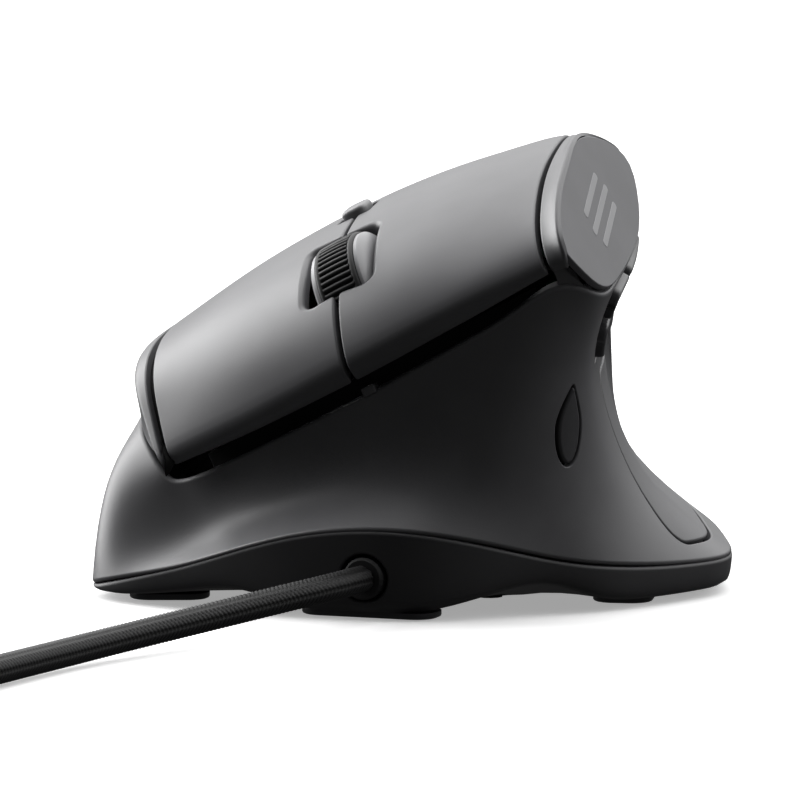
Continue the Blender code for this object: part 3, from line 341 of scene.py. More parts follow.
def wall_rows():
    """The walls all round, from the rim under the top surface (row 0) to the crease (row 3)."""
    rim = [barrel(*place) for place in (
        (0, -47.6, -0.9), (12, -49.2, -1.8), (24, -50.2, -2.2), (36, -50.5, -2.3), (48, -50.1, -1.9),
        (58, -49.2, -1.2), (66.6, -47.6, -0.7),
    )]
    rim += [
        (35.2, -42.0, 47.6), (34.9, -33.0, 48.6), (33.6, -23.0, 51.0), (31.3, -11.5, 55.6),
        (26.4, 0.2, 63.0), (19.2, 12.2, 58.8), (14.1, 27.0, 45.8), (8.4, 46.4, 22.6), (3.0, 55.4, 12.2),
        (-7.5, 56.9, 9.4), (-20.0, 51.9, 9.4), (-31.0, 43.5, 10.3), (-38.6, 29.0, 15.2),
        (-42.4, 13.0, 20.2), (-43.9, -3.0, 24.2), (-43.6, -17.0, 26.2), (-42.0, -29.0, 26.6),
        (-37.8, -40.0, 24.4), (-32.6, -46.4, 20.2),
    ]
    upper = [
        (-27.0, -48.4, 14.6), (-16.6, -49.2, 18.6), (-5.9, -49.6, 23.0), (4.7, -49.4, 27.4),
        (15.0, -48.8, 31.4), (22.8, -47.6, 34.4), (28.6, -43.8, 35.4), (31.4, -37.6, 35.0),
        (30.9, -31.5, 36.0), (28.6, -22.5, 38.0), (25.8, -11.5, 40.0), (21.2, 1.0, 42.0),
        (16.0, 14.5, 42.0), (11.4, 29.6, 36.0), (9.0, 46.7, 20.0), (3.6, 55.9, 11.2),
        (-7.5, 57.2, 8.8), (-20.2, 52.3, 8.7), (-31.4, 43.9, 9.2), (-39.0, 29.5, 12.4),
        (-43.0, 13.5, 16.0), (-44.6, -3.0, 19.2), (-44.7, -18.0, 20.4), (-43.8, -31.0, 20.2),
        (-41.8, -42.5, 18.6), (-36.0, -47.8, 14.8),
    ]
    lower = [
        (-26.8, -50.6, 9.8), (-17.0, -51.4, 13.2), (-6.6, -51.4, 16.8), (3.9, -51.0, 19.4),
        (13.6, -49.8, 20.6), (21.2, -47.6, 20.8), (27.8, -42.4, 20.6), (32.2, -35.4, 20.2),
        (33.6, -28.4, 19.6), (33.0, -19.5, 19.6), (30.4, -9.5, 19.6), (24.8, 3.0, 20.0),
        (19.2, 16.5, 20.8), (14.0, 31.4, 20.0), (11.0, 46.8, 14.6), (4.2, 56.3, 9.8),
        (-7.5, 57.5, 8.2), (-20.4, 52.7, 7.9), (-31.6, 44.1, 7.8), (-39.0, 29.8, 9.0),
        (-42.9, 13.8, 10.4), (-44.8, -3.0, 11.6), (-45.1, -19.0, 11.6), (-45.0, -33.0, 11.0),
        (-43.5, -44.5, 10.0), (-37.6, -49.8, 8.6),
    ]
    crease = [
        (-27.0, -54.9, 6.2), (-17.4, -57.0, 9.2), (-7.6, -58.0, 12.0), (2.4, -57.8, 13.4),
        (11.8, -56.2, 13.1), (20.4, -51.0, 11.2), (28.0, -43.6, 8.6), (34.3, -37.0, 7.1),
        (39.6, -28.0, 6.2), (43.8, -18.0, 5.8), (45.1, -8.5, 5.8), (41.0, 3.5, 6.2),
        (34.6, 17.5, 6.8), (26.2, 31.5, 7.4), (15.6, 46.2, 7.6), (5.0, 56.6, 7.6), (-7.5, 57.9, 7.4),
        (-20.6, 53.0, 6.9), (-31.8, 44.2, 6.3), (-38.8, 30.0, 5.6), (-42.4, 14.0, 4.8),
        (-44.5, -3.0, 3.9), (-45.3, -19.0, 2.9), (-45.3, -34.0, 2.2), (-44.2, -45.0, 1.9),
        (-37.6, -51.6, 3.5),
    ]
    return list(zip(rim, upper, lower, crease))


WALL_START = -10
TOP = top_surface()
WALLS = Surface(wall_rows(), -1.0, (3.0, 1.5), WALL_START)
FLOOR_BOTTOM = 1.0
SEAM = 0.35


def foot_lift(x, y):
    """How far the base's lower edge rises above the feet: two arches at the front."""
    left = math.exp(-(((x + 20.0) / 9.0) ** 2))
    right = math.exp(-(((x - 27.0) / 8.0) ** 2))
    front = 1.0 / (1.0 + math.exp((y + 36.0) / 4.0))
    return (2.6 * left + 4.0 * right) * front


def base_surface():
    """The base's sides, from the seam under the walls to the edge of its underside."""
    us = np.arange(WALLS.period)
    crease = WALLS.at_uv(us, 3.0)
    outward = WALLS.normal_uv(us, 2.9)
    outward[:, 2] = 0.0
    outward = unit(outward)
    lift = np.array([foot_lift(x, y) for x, y, _ in crease])
    top = crease - [0.0, 0.0, SEAM]
    rows = [top]
    for share, inset in ((0.50, 0.2), (0.88, 0.7), (1.0, 1.7)):
        row = crease - outward * inset
        row[:, 2] = top[:, 2] + (FLOOR_BOTTOM + lift - top[:, 2]) * share
        rows.append(row)
    return Surface(list(zip(*rows)), -1.0, (3.0, 1.5), WALL_START)


BASE = base_surface()


# Panels: cut from a surface, with rolled edges and a thickness ---------------------------------


class Edge:
    """A closed outline on a surface's flat map, rolled over by its own radius at each point."""

    def __init__(self, surface, places, rolls, hole=False):
        self.places = np.asarray(places, float)
        self.rolls = np.broadcast_to(np.asarray(rolls, float), len(self.places)).copy()
        following = np.roll(self.places, -1, axis=0)
        area = np.sum(self.places[:, 0] * following[:, 1] - self.places[:, 1] * following[:, 0])
        if (area > 0) == hole:
            self.places = self.places[::-1].copy()
            self.rolls = self.rolls[::-1].copy()
        self.hole = hole
        self.inward = self.square_to(surface)

    def square_to(self, surface):
        """The flat step that is one millimetre into the panel, square to the outline."""
        step = 0.05
        slopes = []
        for shift in (np.array([step, 0.0]), np.array([0.0, step])):
            rise = surface.at(self.places + shift) - surface.at(self.places - shift)
            slopes.append(rise / (2 * step))
        xs, ys = slopes
        e, f, g = (xs * xs).sum(1), (xs * ys).sum(1), (ys * ys).sum(1)
        along = np.roll(self.places, -1, axis=0) - np.roll(self.places, 1, axis=0)
        cross = np.stack([-along[:, 1], along[:, 0]], axis=1)
        whole = e * g - f * f
        in_x = (g * cross[:, 0] - f * cross[:, 1]) / whole
        in_y = (e * cross[:, 1] - f * cross[:, 0]) / whole
        size = np.sqrt(e * in_x**2 + 2 * f * in_x * in_y + g * in_y**2)
        return np.stack([in_x, in_y], axis=1) / size[:, None]


def outline(surface, corners, step=0.8):
    """Flat places and rolls round a polygon of (u, v, corner radius, roll), with round corners."""
    flat = surface.xy([corner[:2] for corner in corners])
    places, rolls = [], []
    count = len(corners)
    for i in range(count):
        radius, roll = corners[i][2:]
        before = unit(flat[i - 1] - flat[i])
        after = unit(flat[(i + 1) % count] - flat[i])
        arc = [0.5] if radius == 0 else np.linspace(0.0, 1.0, 9)
        for t in arc:
            start, end = flat[i] + before * radius, flat[i] + after * radius
            places.append((1 - t) ** 2 * start + 2 * t * (1 - t) * flat[i] + t**2 * end)
            rolls.append(roll)
        start = flat[i] + after * radius
        end = flat[(i + 1) % count] - after * corners[(i + 1) % count][2]
        spans = max(1, int(np.linalg.norm(end - start) / step))
        for k in range(1, spans):
            t = k / spans
            places.append(start + (end - start) * t)
            rolls.append(roll + (corners[(i + 1) % count][3] - roll) * t)
    return np.array(places), np.array(rolls)


def inside(loop, points):
    """Which points lie inside a closed loop."""
    found = np.zeros(len(points), bool)
    ends = np.roll(loop, -1, axis=0)
    for (x0, y0), (x1, y1) in zip(loop, ends):
        if y0 == y1:
            continue
        crosses = (points[:, 1] >= min(y0, y1)) & (points[:, 1] < max(y0, y1))
        found ^= crosses & (points[:, 0] < x0 + (points[:, 1] - y0) * (x1 - x0) / (y1 - y0))
    return found


def far_from(points, loop, gap):
    """Which points are at least a gap away from every point of a loop."""
    clear = np.ones(len(points), bool)
    for chunk in np.array_split(loop, max(1, len(loop) // 200)):
        apart = ((points[:, None] - chunk[None]) ** 2).sum(2).min(1)
        clear &= apart > gap * gap
    return clear


def lattice(low, high, spacing):
    """A triangular lattice of points over a box."""
    rows = np.arange(low[1], high[1], spacing * math.sqrt(0.75))
    points = []
    for i, y in enumerate(rows):
        xs = np.arange(low[0] + (i % 2) * spacing / 2, high[0], spacing)
        points.append(np.stack([xs, np.full_like(xs, y)], 1))
    return np.concatenate(points)


ROLL_STEPS = np.radians([90.0, 67.5, 45.0, 22.5, 0.0])


def triangulate(loops, points):
    """Triangles over a set of points, with the loops as edges. Returns (places, sources, faces)."""
    edges = []
    for start, count in loops:
        edges += [(start + i, start + (i + 1) % count) for i in range(count)]
    points = np.asarray(points, float)
    result = delaunay_2d_cdt([Vector(point) for point in points], edges, [], 0, 1e-6)
    places = np.array([tuple(point) for point in result[0]])
    sources = np.array([source[0] if source else -1 for source in result[3]])
    places = np.where(sources[:, None] >= 0, points[sources], places)
    return places, sources, np.array(result[2])


def panel_arrays(surface, edges, depth, spacing, lift=0.0):
    """A panel's outer points, inner points, normals and triangles, within its edges.

    The first edge is the outline, and any others are holes.
    """
    places, drops, tilts, sides, loops, finals = [], [], [], [], [], []
    for edge in edges:
        for angle in ROLL_STEPS:
            offset = edge.rolls * (1 - math.sin(angle))
            flat = edge.places + edge.inward * offset[:, None]
            loops.append((sum(len(p) for p in places), len(flat)))
            places.append(flat)
            drops.append(edge.rolls * (1 - math.cos(angle)))
            tilts.append(np.where(edge.rolls > 0, angle, 0.0))
            sides.append(edge.inward)
        finals.append(flat)
    fill = lattice(edges[0].places.min(0), edges[0].places.max(0), spacing)
    fill = fill[inside(finals[0], fill)]
    for k, loop in enumerate(finals):
        if k:
            fill = fill[~inside(loop, fill)]
        fill = fill[far_from(fill, loop, spacing * 0.55)]
    places.append(fill)
    drops.append(np.zeros(len(fill)))
    tilts.append(np.zeros(len(fill)))
    sides.append(np.zeros((len(fill), 2)))
    flat, sources, faces = triangulate(loops, np.concatenate(places))
    drop, tilt, side = np.concatenate(drops), np.concatenate(tilts), np.concatenate(sides)
    drop = np.where(sources >= 0, drop[sources], 0.0)
    tilt = np.where(sources >= 0, tilt[sources], 0.0)
    side = np.where(sources[:, None] >= 0, side[sources], 0.0)
    middles = flat[faces].mean(1)
    keep = inside(edges[0].places, middles)
    for edge in edges[1:]:
        keep &= ~inside(edge.places, middles)
    faces = faces[keep]
    normal = surface.normal(flat)
    skin = surface.at(flat)
    step = 0.05
    out = unit(surface.at(flat - side * step) - surface.at(flat + side * step))
    turned = normal * np.cos(tilt)[:, None] + out * np.sin(tilt)[:, None]
    outer = skin + normal * (lift - drop)[:, None]
    inner = skin + normal * (lift - depth)
    ends = outer[faces]
    turned_to = np.cross(ends[:, 1] - ends[:, 0], ends[:, 2] - ends[:, 0])
    facing = np.einsum("ij,ij->i", turned_to, normal[faces[:, 0]])
    if np.median(facing) < 0:
        faces = faces[:, ::-1]
    return outer, inner, unit(turned), faces


def weld(points):
    """The first place that each distinct point occurs, and the index of each point among them."""
    _, first, index = np.unique(
        np.round(points, 4), axis=0, return_index=True, return_inverse=True
    )
    return first, index.reshape(-1)


def shell_mesh(name, parts):
    """A closed mesh from parts of (outer, inner, normals, faces), walled along its open edges."""
    outer = np.concatenate([part[0] for part in parts])
    inner = np.concatenate([part[1] for part in parts])
    normals = np.concatenate([part[2] for part in parts])
    starts = np.cumsum([0] + [len(part[0]) for part in parts])
    faces = np.concatenate([part[3] + start for part, start in zip(parts, starts)])
    first, index = weld(outer)
    faces = index[faces]
    following = np.roll(faces, -1, axis=1)
    faces = faces[(faces != following).all(axis=1)]
    blended = np.zeros((len(first), 3))
    np.add.at(blended, index, normals)
    outer, inner, normals = outer[first], inner[first], unit(blended)
    count = len(outer)
    directed = np.concatenate([faces[:, [0, 1]], faces[:, [1, 2]], faces[:, [2, 0]]])
    known = {(int(a), int(b)) for a, b in directed}
    rim = [(a, b) for a, b in known if (b, a) not in known]
    used = np.unique(faces)
    order = np.full(count, -1)
    order[used] = np.arange(len(used))
    points = np.concatenate([outer[used], inner[used]])
    size = len(used)
    back = -normals[used]
    for a, b in rim:
        for end in (order[a], order[b]):
            back[end] = normals[used][end]
    polygons = [tuple(int(order[i]) for i in face) for face in faces]
    polygons += [tuple(int(order[i]) + size for i in face[::-1]) for face in faces]
    polygons += [
        (int(order[b]), int(order[a]), int(order[a]) + size, int(order[b]) + size)
        for a, b in sorted(rim)
    ]
    return plain_mesh(name, points, polygons, np.concatenate([normals[used], back]))


def plain_mesh(name, points, polygons, normals=None):
    """A smooth mesh from points in millimetres, with a normal of its own at each if given."""
    mesh = bpy.data.meshes.new(name)
    mesh.from_pydata([tuple(MM * float(c) for c in point) for point in points], [], polygons)
    mesh.shade_smooth()
    if normals is not None:
        mesh.normals_split_custom_set_from_vertices([tuple(map(float, n)) for n in normals])
    mesh.update()
    return mesh


def face_out(mesh):
    """Turns the faces of a closed mesh outwards."""
    form = bmesh.new()
    form.from_mesh(mesh)
    bmesh.ops.recalc_face_normals(form, faces=form.faces)
    form.to_mesh(mesh)
    form.free()


def add_piece(mesh, finish, body=HOUSING, replaces=()):
    """A finished piece, which rides on a body and may stand for some nodes of the model."""
    obj = bpy.data.objects.new(mesh.name, mesh)
    bpy.context.scene.collection.objects.link(obj)
    mesh.materials.clear()
    mesh.materials.append(finish)
    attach(obj, body)
    if replaces:
        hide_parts(*replaces)
    return obj


def settings():
    return bpy.context.scene.upright_mouse


def panel(name, surface, corners, finish, depth, body=HOUSING, holes=(), lift=0.0, spacing=None,
          replaces=None):
    """A panel within round-cornered corners, with its holes, added as a piece."""
    places, rolls = outline(surface, corners)
    edges = [Edge(surface, places, rolls)] + list(holes)
    spacing = spacing or settings().housing.spacing / MM
    arrays = panel_arrays(surface, edges, depth, spacing, lift)
    mesh = shell_mesh(name, [arrays])
    return add_piece(mesh, finish, body, (name,) if replaces is None else replaces)


# Finishes ------------------------------------------------------------------------------------

BOARD_GREEN = (0.010, 0.060, 0.035)
BLACK_PLASTIC = (0.014, 0.014, 0.015)


class Finish:
    """A procedural material whose pattern is fixed to the piece."""

    def __init__(self, name, colour, roughness, **sockets):
        self.material = bpy.data.materials.new(name)
        self.material.use_nodes = True
        self.tree = self.material.node_tree
        self.shader = self.tree.nodes["Principled BSDF"]
        self.shader.inputs["Roughness"].default_value = roughness
        for socket, value in sockets.items():
            self.shader.inputs[socket.replace("_", " ")].default_value = value
        self.coordinates = self.tree.nodes.new("ShaderNodeTexCoord").outputs["Object"]
        self.colour = colour

    def node(self, kind, **values):
        """A new node, with values for its sockets or its own settings."""
        made = self.tree.nodes.new(kind)
        for key, value in values.items():
            if key in made.inputs.keys():
                made.inputs[key].default_value = value
            else:
                setattr(made, key, value)
        return made

    def link(self, start, end):
        self.tree.links.new(start, end)

    def noise(self, size_mm, detail=2.0, stretch=None):
        """Unevenness of a size, which may be squeezed along an axis."""
        made = self.node("ShaderNodeTexNoise", Scale=1.0 / (size_mm * MM), Detail=detail)
        source = self.coordinates
        if stretch:
            mapping = self.node("ShaderNodeMapping", Scale=stretch)
            self.link(source, mapping.inputs["Vector"])
            source = mapping.outputs["Vector"]
        self.link(source, made.inputs["Vector"])
        return made.outputs["Fac"]

    def shades(self, fac, spread):
        """Colour that varies a little either side of its own."""
        ramp = self.node("ShaderNodeValToRGB")
        for stop, share in zip(ramp.color_ramp.elements, (1.0 - spread, 1.0 + spread)):
            stop.color = (*(min(1.0, part * share) for part in self.colour), 1.0)
        ramp.color_ramp.elements[0].position = 0.35
        ramp.color_ramp.elements[1].position = 0.65
        self.link(fac, ramp.inputs["Fac"])
        self.link(ramp.outputs["Color"], self.shader.inputs["Base Color"])

    def rough(self, fac, low, high):
        """Roughness that varies between two values."""
        spread = self.node("ShaderNodeMapRange")
        spread.inputs["To Min"].default_value = low
        spread.inputs["To Max"].default_value = high
        self.link(fac, spread.inputs["Value"])
        self.link(spread.outputs["Result"], self.shader.inputs["Roughness"])

    def bump(self, fac, depth_mm):
        """Relief of a depth on the surface."""
        made = self.node("ShaderNodeBump", Strength=1.0, Distance=depth_mm * MM)
        self.link(fac, made.inputs["Height"])
        self.link(made.outputs["Normal"], self.shader.inputs["Normal"])


def moulded(name, colour, roughness, grain_mm=0.22, depth_mm=0.006, **sockets):
    """Moulded plastic with a fine spark-eroded grain."""
    made = Finish(name, colour, roughness, **sockets)
    made.shades(made.noise(9.0), 0.05)
    made.rough(made.noise(14.0), roughness - 0.03, roughness + 0.03)
    made.bump(made.noise(grain_mm, 3.0), depth_mm)
    return made.material


def braid_finish():
    """Woven sleeve: fine threads run along each strand, and the hollows between strands are painted
    dark as shade.
    """
    colour = tuple(settings().cable.colour)
    made = Finish("braid", colour, 0.5)
    # Painted shade: by how far each point stands out, the hollows are darkened to a twentieth of the
    # braid's colour.
    stands_out = made.node("ShaderNodeAttribute", attribute_name="strand")
    ramp = made.node("ShaderNodeValToRGB")
    low, high = ramp.color_ramp.elements
    low.position, high.position = 0.55, 1.0
    low.color = (*(0.05 * part for part in colour), 1.0)
    high.color = (*colour, 1.0)
    made.link(stands_out.outputs["Fac"], ramp.inputs["Fac"])
    made.link(ramp.outputs["Color"], made.shader.inputs["Base Color"])
    made.bump(made.noise(0.10, 3.0), 0.03)
    return made.material


def metal_finish(name, colour, roughness):
    """Drawn metal with fine streaks one way."""
    made = Finish(name, colour, roughness, Metallic=1.0)
    made.shades(made.noise(2.0), 0.05)
    made.bump(made.noise(0.35, 2.0, (1.0, 12.0, 1.0)), 0.004)
    return made.material


def board_finish():
    """Solder mask with copper showing through along its tracks."""
    made = Finish("board", BOARD_GREEN, 0.35)
    tracks = made.node("ShaderNodeTexBrick", Scale=350.0)
    tracks.inputs["Color1"].default_value = (*BOARD_GREEN, 1.0)
    tracks.inputs["Color2"].default_value = (0.012, 0.070, 0.040, 1.0)
    tracks.inputs["Mortar"].default_value = (0.020, 0.110, 0.055, 1.0)
    made.link(made.coordinates, tracks.inputs["Vector"])
    made.link(tracks.outputs["Color"], made.shader.inputs["Base Color"])
    made.bump(tracks.outputs["Fac"], 0.03)
    return made.material


def finish(name):
    """A finish by name, made the first time it is asked for."""
    if name in bpy.data.materials and bpy.data.materials[name].get("finished"):
        return bpy.data.materials[name]
    housing, wheel = settings().housing, settings().wheel
    makers = {
        "shell_skin": lambda: moulded("shell_skin", tuple(housing.shell_colour), 0.40),
        "base_skin": lambda: moulded("base_skin", tuple(housing.base_colour), 0.50, 0.3, 0.010),
        "plate_skin": lambda: moulded("plate_skin", tuple(housing.plate_colour), 0.45),
        "key_skin": lambda: moulded("key_skin", tuple(housing.key_colour), 0.36),
        "thumb_skin": lambda: moulded("thumb_skin", tuple(housing.thumb_colour), 0.36),
        "grip_skin": lambda: moulded("grip_skin", tuple(housing.shell_colour), 0.52, 0.35, 0.015),
        "hub_skin": lambda: moulded("hub_skin", tuple(wheel.hub_colour), 0.34),
        "tyre_skin": lambda: moulded("tyre_skin", tuple(wheel.tyre_colour), 0.58, 0.3, 0.012),
        "mark_skin": lambda: moulded("mark_skin", (0.30, 0.30, 0.31), 0.40),
        "foot_skin": lambda: moulded("foot_skin", (0.045, 0.045, 0.048), 0.30, 0.5, 0.004),
        # Near-black, darker than the black plastic: painted shade for the inner frame and for the lips
        # behind the gaps.
        "inner_and_painted_shade_skin": lambda: moulded("inner_and_painted_shade_skin", (0.003, 0.003, 0.003), 0.75, 0.5, 0.010),
        "component_skin": lambda: moulded("component_skin", BLACK_PLASTIC, 0.42),
        "lens_skin": lambda: moulded("lens_skin", (0.30, 0.32, 0.33), 0.08, 1.5, 0.002),
        "grommet_skin": lambda: moulded("grommet_skin", (0.012, 0.012, 0.013), 0.55, 0.3, 0.010),
        "plug_skin": lambda: moulded("plug_skin", BLACK_PLASTIC, 0.45, 0.4, 0.012),
        "braid": braid_finish,
        "steel": lambda: metal_finish("steel", (0.36, 0.37, 0.38), 0.34),
        "black_steel": lambda: metal_finish("black_steel", (0.02, 0.02, 0.02), 0.45),
        "board": board_finish,
    }
    made = makers[name]()
    made["finished"] = True
    return made


# Pieces --------------------------------------------------------------------------------------

REARWARD = np.array([0.0, 1.0, 0.0])
SLOT_TILT = math.radians(32.2)
SLOT_MIDDLE = (34.9, -42.0, 17.9)
SLOT_HALF = (5.9, 7.9)
SPLIT_AT_SLOT = 34.8
SPLIT_AT_LIP = 4.75
SPLIT_HALF = 0.36
KEY_GAP = 0.8
LIP = 0.3
LIP_ROLL = 0.28
DPI_KEY = ((32.0, -25.6), (36.2, -20.2))
# Stations across and rows front to back at which the top's pieces start and end.
LOWER_CAP_END = 1.86
RIGHT_BUTTON_START = 2.05
SPLIT = 5
CREST_SEAM = 8
SEAM_HALF = 0.032
CREST_CAP_START = 8.09
BUTTON_END = 7.47
PALM_START = 7.53
PALM_END = 9.96
# How thick the keys are and how far they stand out.
THUMB_KEY_DEPTH, THUMB_KEY_LIFT = 3.9, 1.3
SNIPER_KEY_DEPTH, SNIPER_KEY_LIFT = 3.4, 0.25
DPI_KEY_DEPTH, DPI_KEY_LIFT = 4.2, 1.1
# Thickness of the near-black lips that paint shade behind the gaps.
SHADE_SHEET_WALL = 0.4
THUMB_PANEL = (8.75, 12.4, 1.22, 2.78)
SNIPER_AT = (6.42, 1.50)
CABLE_EXIT = np.array([3.9, -57.9, 6.1])
SCREWS_AT = ((-24.0, -32.0), (16.0, -36.0), (-24.0, 26.0), (-3.0, 27.0))
SENSOR_AT = (-4.0, -4.0)


def slot_places(targets):
    """(u, v) places round the wheel's slot, given as (across, up the slope) from its middle."""
    up = math.cos(SLOT_TILT) * REARWARD + math.sin(SLOT_TILT) * UPRIGHT
    return TOP.uv(TOP.seek(barrel(*SLOT_MIDDLE), ACROSS, up, targets, (5.0, 3.8)))


def recess_places(targets):
    """(u, v) places given as (along, y) on the barrel near the small key."""
    return TOP.uv(TOP.seek(barrel(0, 0, 0), ACROSS, REARWARD, targets, (5.0, 5.8)))


def button_corners(outer_edge, split_edge, side):
    """A main button's corners: its far edge, the split, and its halves of the slot and recess."""
    split_along = SPLIT_AT_SLOT + side * SPLIT_HALF
    housing = settings().housing
    roll, wide = housing.roll / MM, housing.slot_roll / MM
    half_width, half_length = SLOT_HALF
    x = split_along - SLOT_MIDDLE[0]
    far = side * half_width
    slot = slot_places([
        (x, half_length), (far, half_length), (far, -half_length), (x, -half_length),
    ])
    (low_s, low_y), (high_s, high_y) = DPI_KEY
    end = high_s + KEY_GAP if side > 0 else low_s - KEY_GAP
    recess = recess_places([
        (split_along, high_y + KEY_GAP), (end, high_y + KEY_GAP), (end, low_y - KEY_GAP),
        (split_along, low_y - KEY_GAP),
    ])
    corners = [(outer_edge, LIP, 0.6, LIP_ROLL), (outer_edge, BUTTON_END, 1.3, roll)]
    corners.append((split_edge, BUTTON_END, 0.9, roll))
    radii = ((0.7, 0.3), (0.8, 0.3), (0.8, 0.3), (0.7, 0.3))
    corners += [(u, v, *radius) for (u, v), radius in zip(recess, radii)]
    radii = ((0.7, 0.4), (1.9, wide), (1.9, wide), (0.7, 0.4))
    corners += [(u, v, *radius) for (u, v), radius in zip(slot, radii)]
    corners.append((SPLIT_AT_LIP + side * SEAM_HALF, LIP, 0.5, LIP_ROLL))
    return corners


def make_buttons():
    """The two main buttons, which share the wheel's slot and the small key's recess."""
    depth = settings().housing.wall / MM
    right = button_corners(RIGHT_BUTTON_START, SPLIT - SEAM_HALF, -1)
    left = button_corners(CREST_SEAM - SEAM_HALF, SPLIT + SEAM_HALF, 1)
    panel("right_button", TOP, right, finish("shell_skin"), depth, "right_button")
    panel("left_button", TOP, left, finish("shell_skin"), depth, "left_button")


def make_caps():
    """The end caps beside the buttons and the cover under the palm."""
    housing = settings().housing
    depth, roll = housing.cap_wall / MM, housing.roll / MM
    skin = finish("shell_skin")
    panel("lower_cap", TOP, [
        (0.0, LIP, 0.5, 0.25), (0.0, BUTTON_END, 1.3, 0.25),
        (LOWER_CAP_END, BUTTON_END, 1.3, 0.25), (LOWER_CAP_END, LIP, 0.5, 0.25),
    ], skin, depth, spacing=0.9)
    panel("crest_cap", TOP, [
        (CREST_CAP_START, LIP, 0.6, LIP_ROLL), (CREST_CAP_START, BUTTON_END, 0.9, roll),
        (CREST_EDGE, BUTTON_END, 0.9, 0.3), (CREST_EDGE, LIP, 0.5, 0.3),
    ], skin, 0.8, spacing=1.0)
    panel("palm_cover", TOP, [
        (0.0, PALM_START, 1.3, roll), (CREST_EDGE, PALM_START, 1.3, roll),
        (CREST_EDGE, PALM_END, 3.0, 0.25), (0.0, PALM_END, 2.0, 0.25),
    ], skin, depth, spacing=1.3)


def patch(low, high, radius, roll):
    """The corners of a rectangle on a surface, from its lowest place to its highest."""
    return [
        (low[0], low[1], radius, roll), (high[0], low[1], radius, roll),
        (high[0], high[1], radius, roll), (low[0], high[1], radius, roll),
    ]


def shade_sheet(name, surface, low, high, wall=SHADE_SHEET_WALL, edge=(0.5, 0.1), lift=0.0, spacing=None):
    """A near-black lip behind a gap, which stands for no node of the model: painted shade that makes
    the gap look black.
    """
    panel(name, surface, patch(low, high, *edge), finish("inner_and_painted_shade_skin"), wall, replaces=(),
          lift=lift, spacing=spacing)


def make_shade_sheets():
    """The near-black lips behind the seams: painted shade that keeps daylight out of them and makes
    them look black.
    """
    rim_at, rim_y = (0, 12, 36, 58, 66.6), (-47.6, -49.2, -50.5, -49.2, -47.6)
    behind_rim = 3.2
    stations = []
    for along, low in (
        (4, -3.6), (12, -5.5), (24, -6), (36, -6), (47, -5), (55, -3.8), (62, -2.4),
    ):
        y = float(np.interp(along, rim_at, rim_y)) + behind_rim
        stations.append([barrel(along, y, rise) for rise in np.linspace(low, 1.0, 4)])
    behind = Surface(stations, 1.0, (3.0, 1.5))
    behind.turn_towards(-REARWARD, (3.0, 1.5))
    shade_sheet("front_shade_sheet", behind, (0.0, 0.0), (6.0, 3.0), wall=0.6)
    shade_sheet("seam_shade_sheet", TOP, (0.5, 0.4), (2.02, 7.4), lift=-1.35, spacing=1.2)
    shade_sheet("teardrop_shade_sheet", WALLS, (5.95, 0.85), (6.9, 2.3), lift=-3.8)


def rim_pairs():
    """Places (on the top's edge, just within it, and the walls' station there) round the rim.

    They run from the crest down to the rear and on round the left side to the front.
    """
    pairs = [((CREST_EDGE, v), (8.7, v), v + 4.0) for v in (6.6, 7.0, 7.5, 8.0, 8.5, 9.0, 9.5)]
    pairs += [((8.5, 10.0), (8.4, 9.7), 14.2)]
    pairs += [((u, 10.0), (u, 9.7), 17.5 - 0.445 * (u - 1)) for u in (8, 7, 6, 5, 4, 3, 2, 1)]
    pairs += [((0.0, v), (0.25, v), 28.0 - v) for v in (9.5, 9.0, 8.0, 7.0, 6.0, 5.0)]
    pairs += [((0.0, v), (0.25, v), 25.4 - 0.4 * v) for v in (3.5, 2.5, 1.5)]
    return pairs


def make_rim_shade_sheet():
    """The near-black lip behind the gap between the top's rim and the walls': painted shade in that
    gap.
    """
    behind = 2.1
    stations = []
    for edge, inner, around in rim_pairs():
        row = [TOP.at_uv(*place) - TOP.normal_uv(*place) * behind for place in (inner, edge)]
        row += [
            WALLS.at_uv(around, v) - WALLS.normal_uv(around, v) * behind for v in (0.0, 0.3)
        ]
        stations.append(row)
    rim = Surface(stations, 1.0, (10.0, 1.5))
    rim.turn_towards(REARWARD, (10.0, 1.5))
    shade_sheet("rim_shade_sheet", rim, (0.0, 0.0), (len(stations) - 1.0, 3.0), edge=(0.0, 0.0), spacing=1.2)


def make_neck():
    """The strip that carries the crest's cap down to the walls."""
    inward = ACROSS * -0.25
    stations = []
    for share in np.linspace(0.0, 1.0, 5):
        lip, rim = 8.1 + 0.85 * share, 6.0 + 0.75 * share
        row = [(TOP, lip, 0.45, 0.5), (TOP, lip, 0.02, 0.45), (WALLS, rim, 0.03, 0.45),
               (WALLS, rim, 0.30, 0.5)]
        stations.append([
            surface.at_uv(u, v) - surface.normal_uv(u, v) * below + inward
            for surface, u, v, below in row
        ])
    neck = Surface(stations, 1.0, (2.0, 1.5))
    neck.turn_towards(-REARWARD, (2.0, 1.5))
    panel("crest_neck", neck, patch((0.0, 0.0), (4.0, 3.0), 0.0, 0.0), finish("shell_skin"), 0.6,
          replaces=(), spacing=0.6)


PLATE_MIDDLE = (2.0, 1.5)
PLATE_ORIGIN = barrel(70.0, 0.0, 0.0)
PLATE_MARGIN = 0.45


def plate_surface():
    """The crest plate's own surface: flat, and eased inwards at its rear tip."""
    grid = []
    for y, along in ((-54, 70.5), (-36, 70.5), (-18, 70.45), (-8, 70.3), (0, 69.3), (5, 68.4)):
        grid.append([barrel(along, y, rise) for rise in (-8, 4, 14, 25)])
    surface = Surface(grid, 1.0, PLATE_MIDDLE)
    surface.turn_towards(ACROSS, PLATE_MIDDLE)
    return surface


def on_plate(surface, targets):
    """Flat places on the plate, given as (y, rise)."""
    return surface.seek(PLATE_ORIGIN, REARWARD, UPRIGHT, targets, PLATE_MIDDLE)


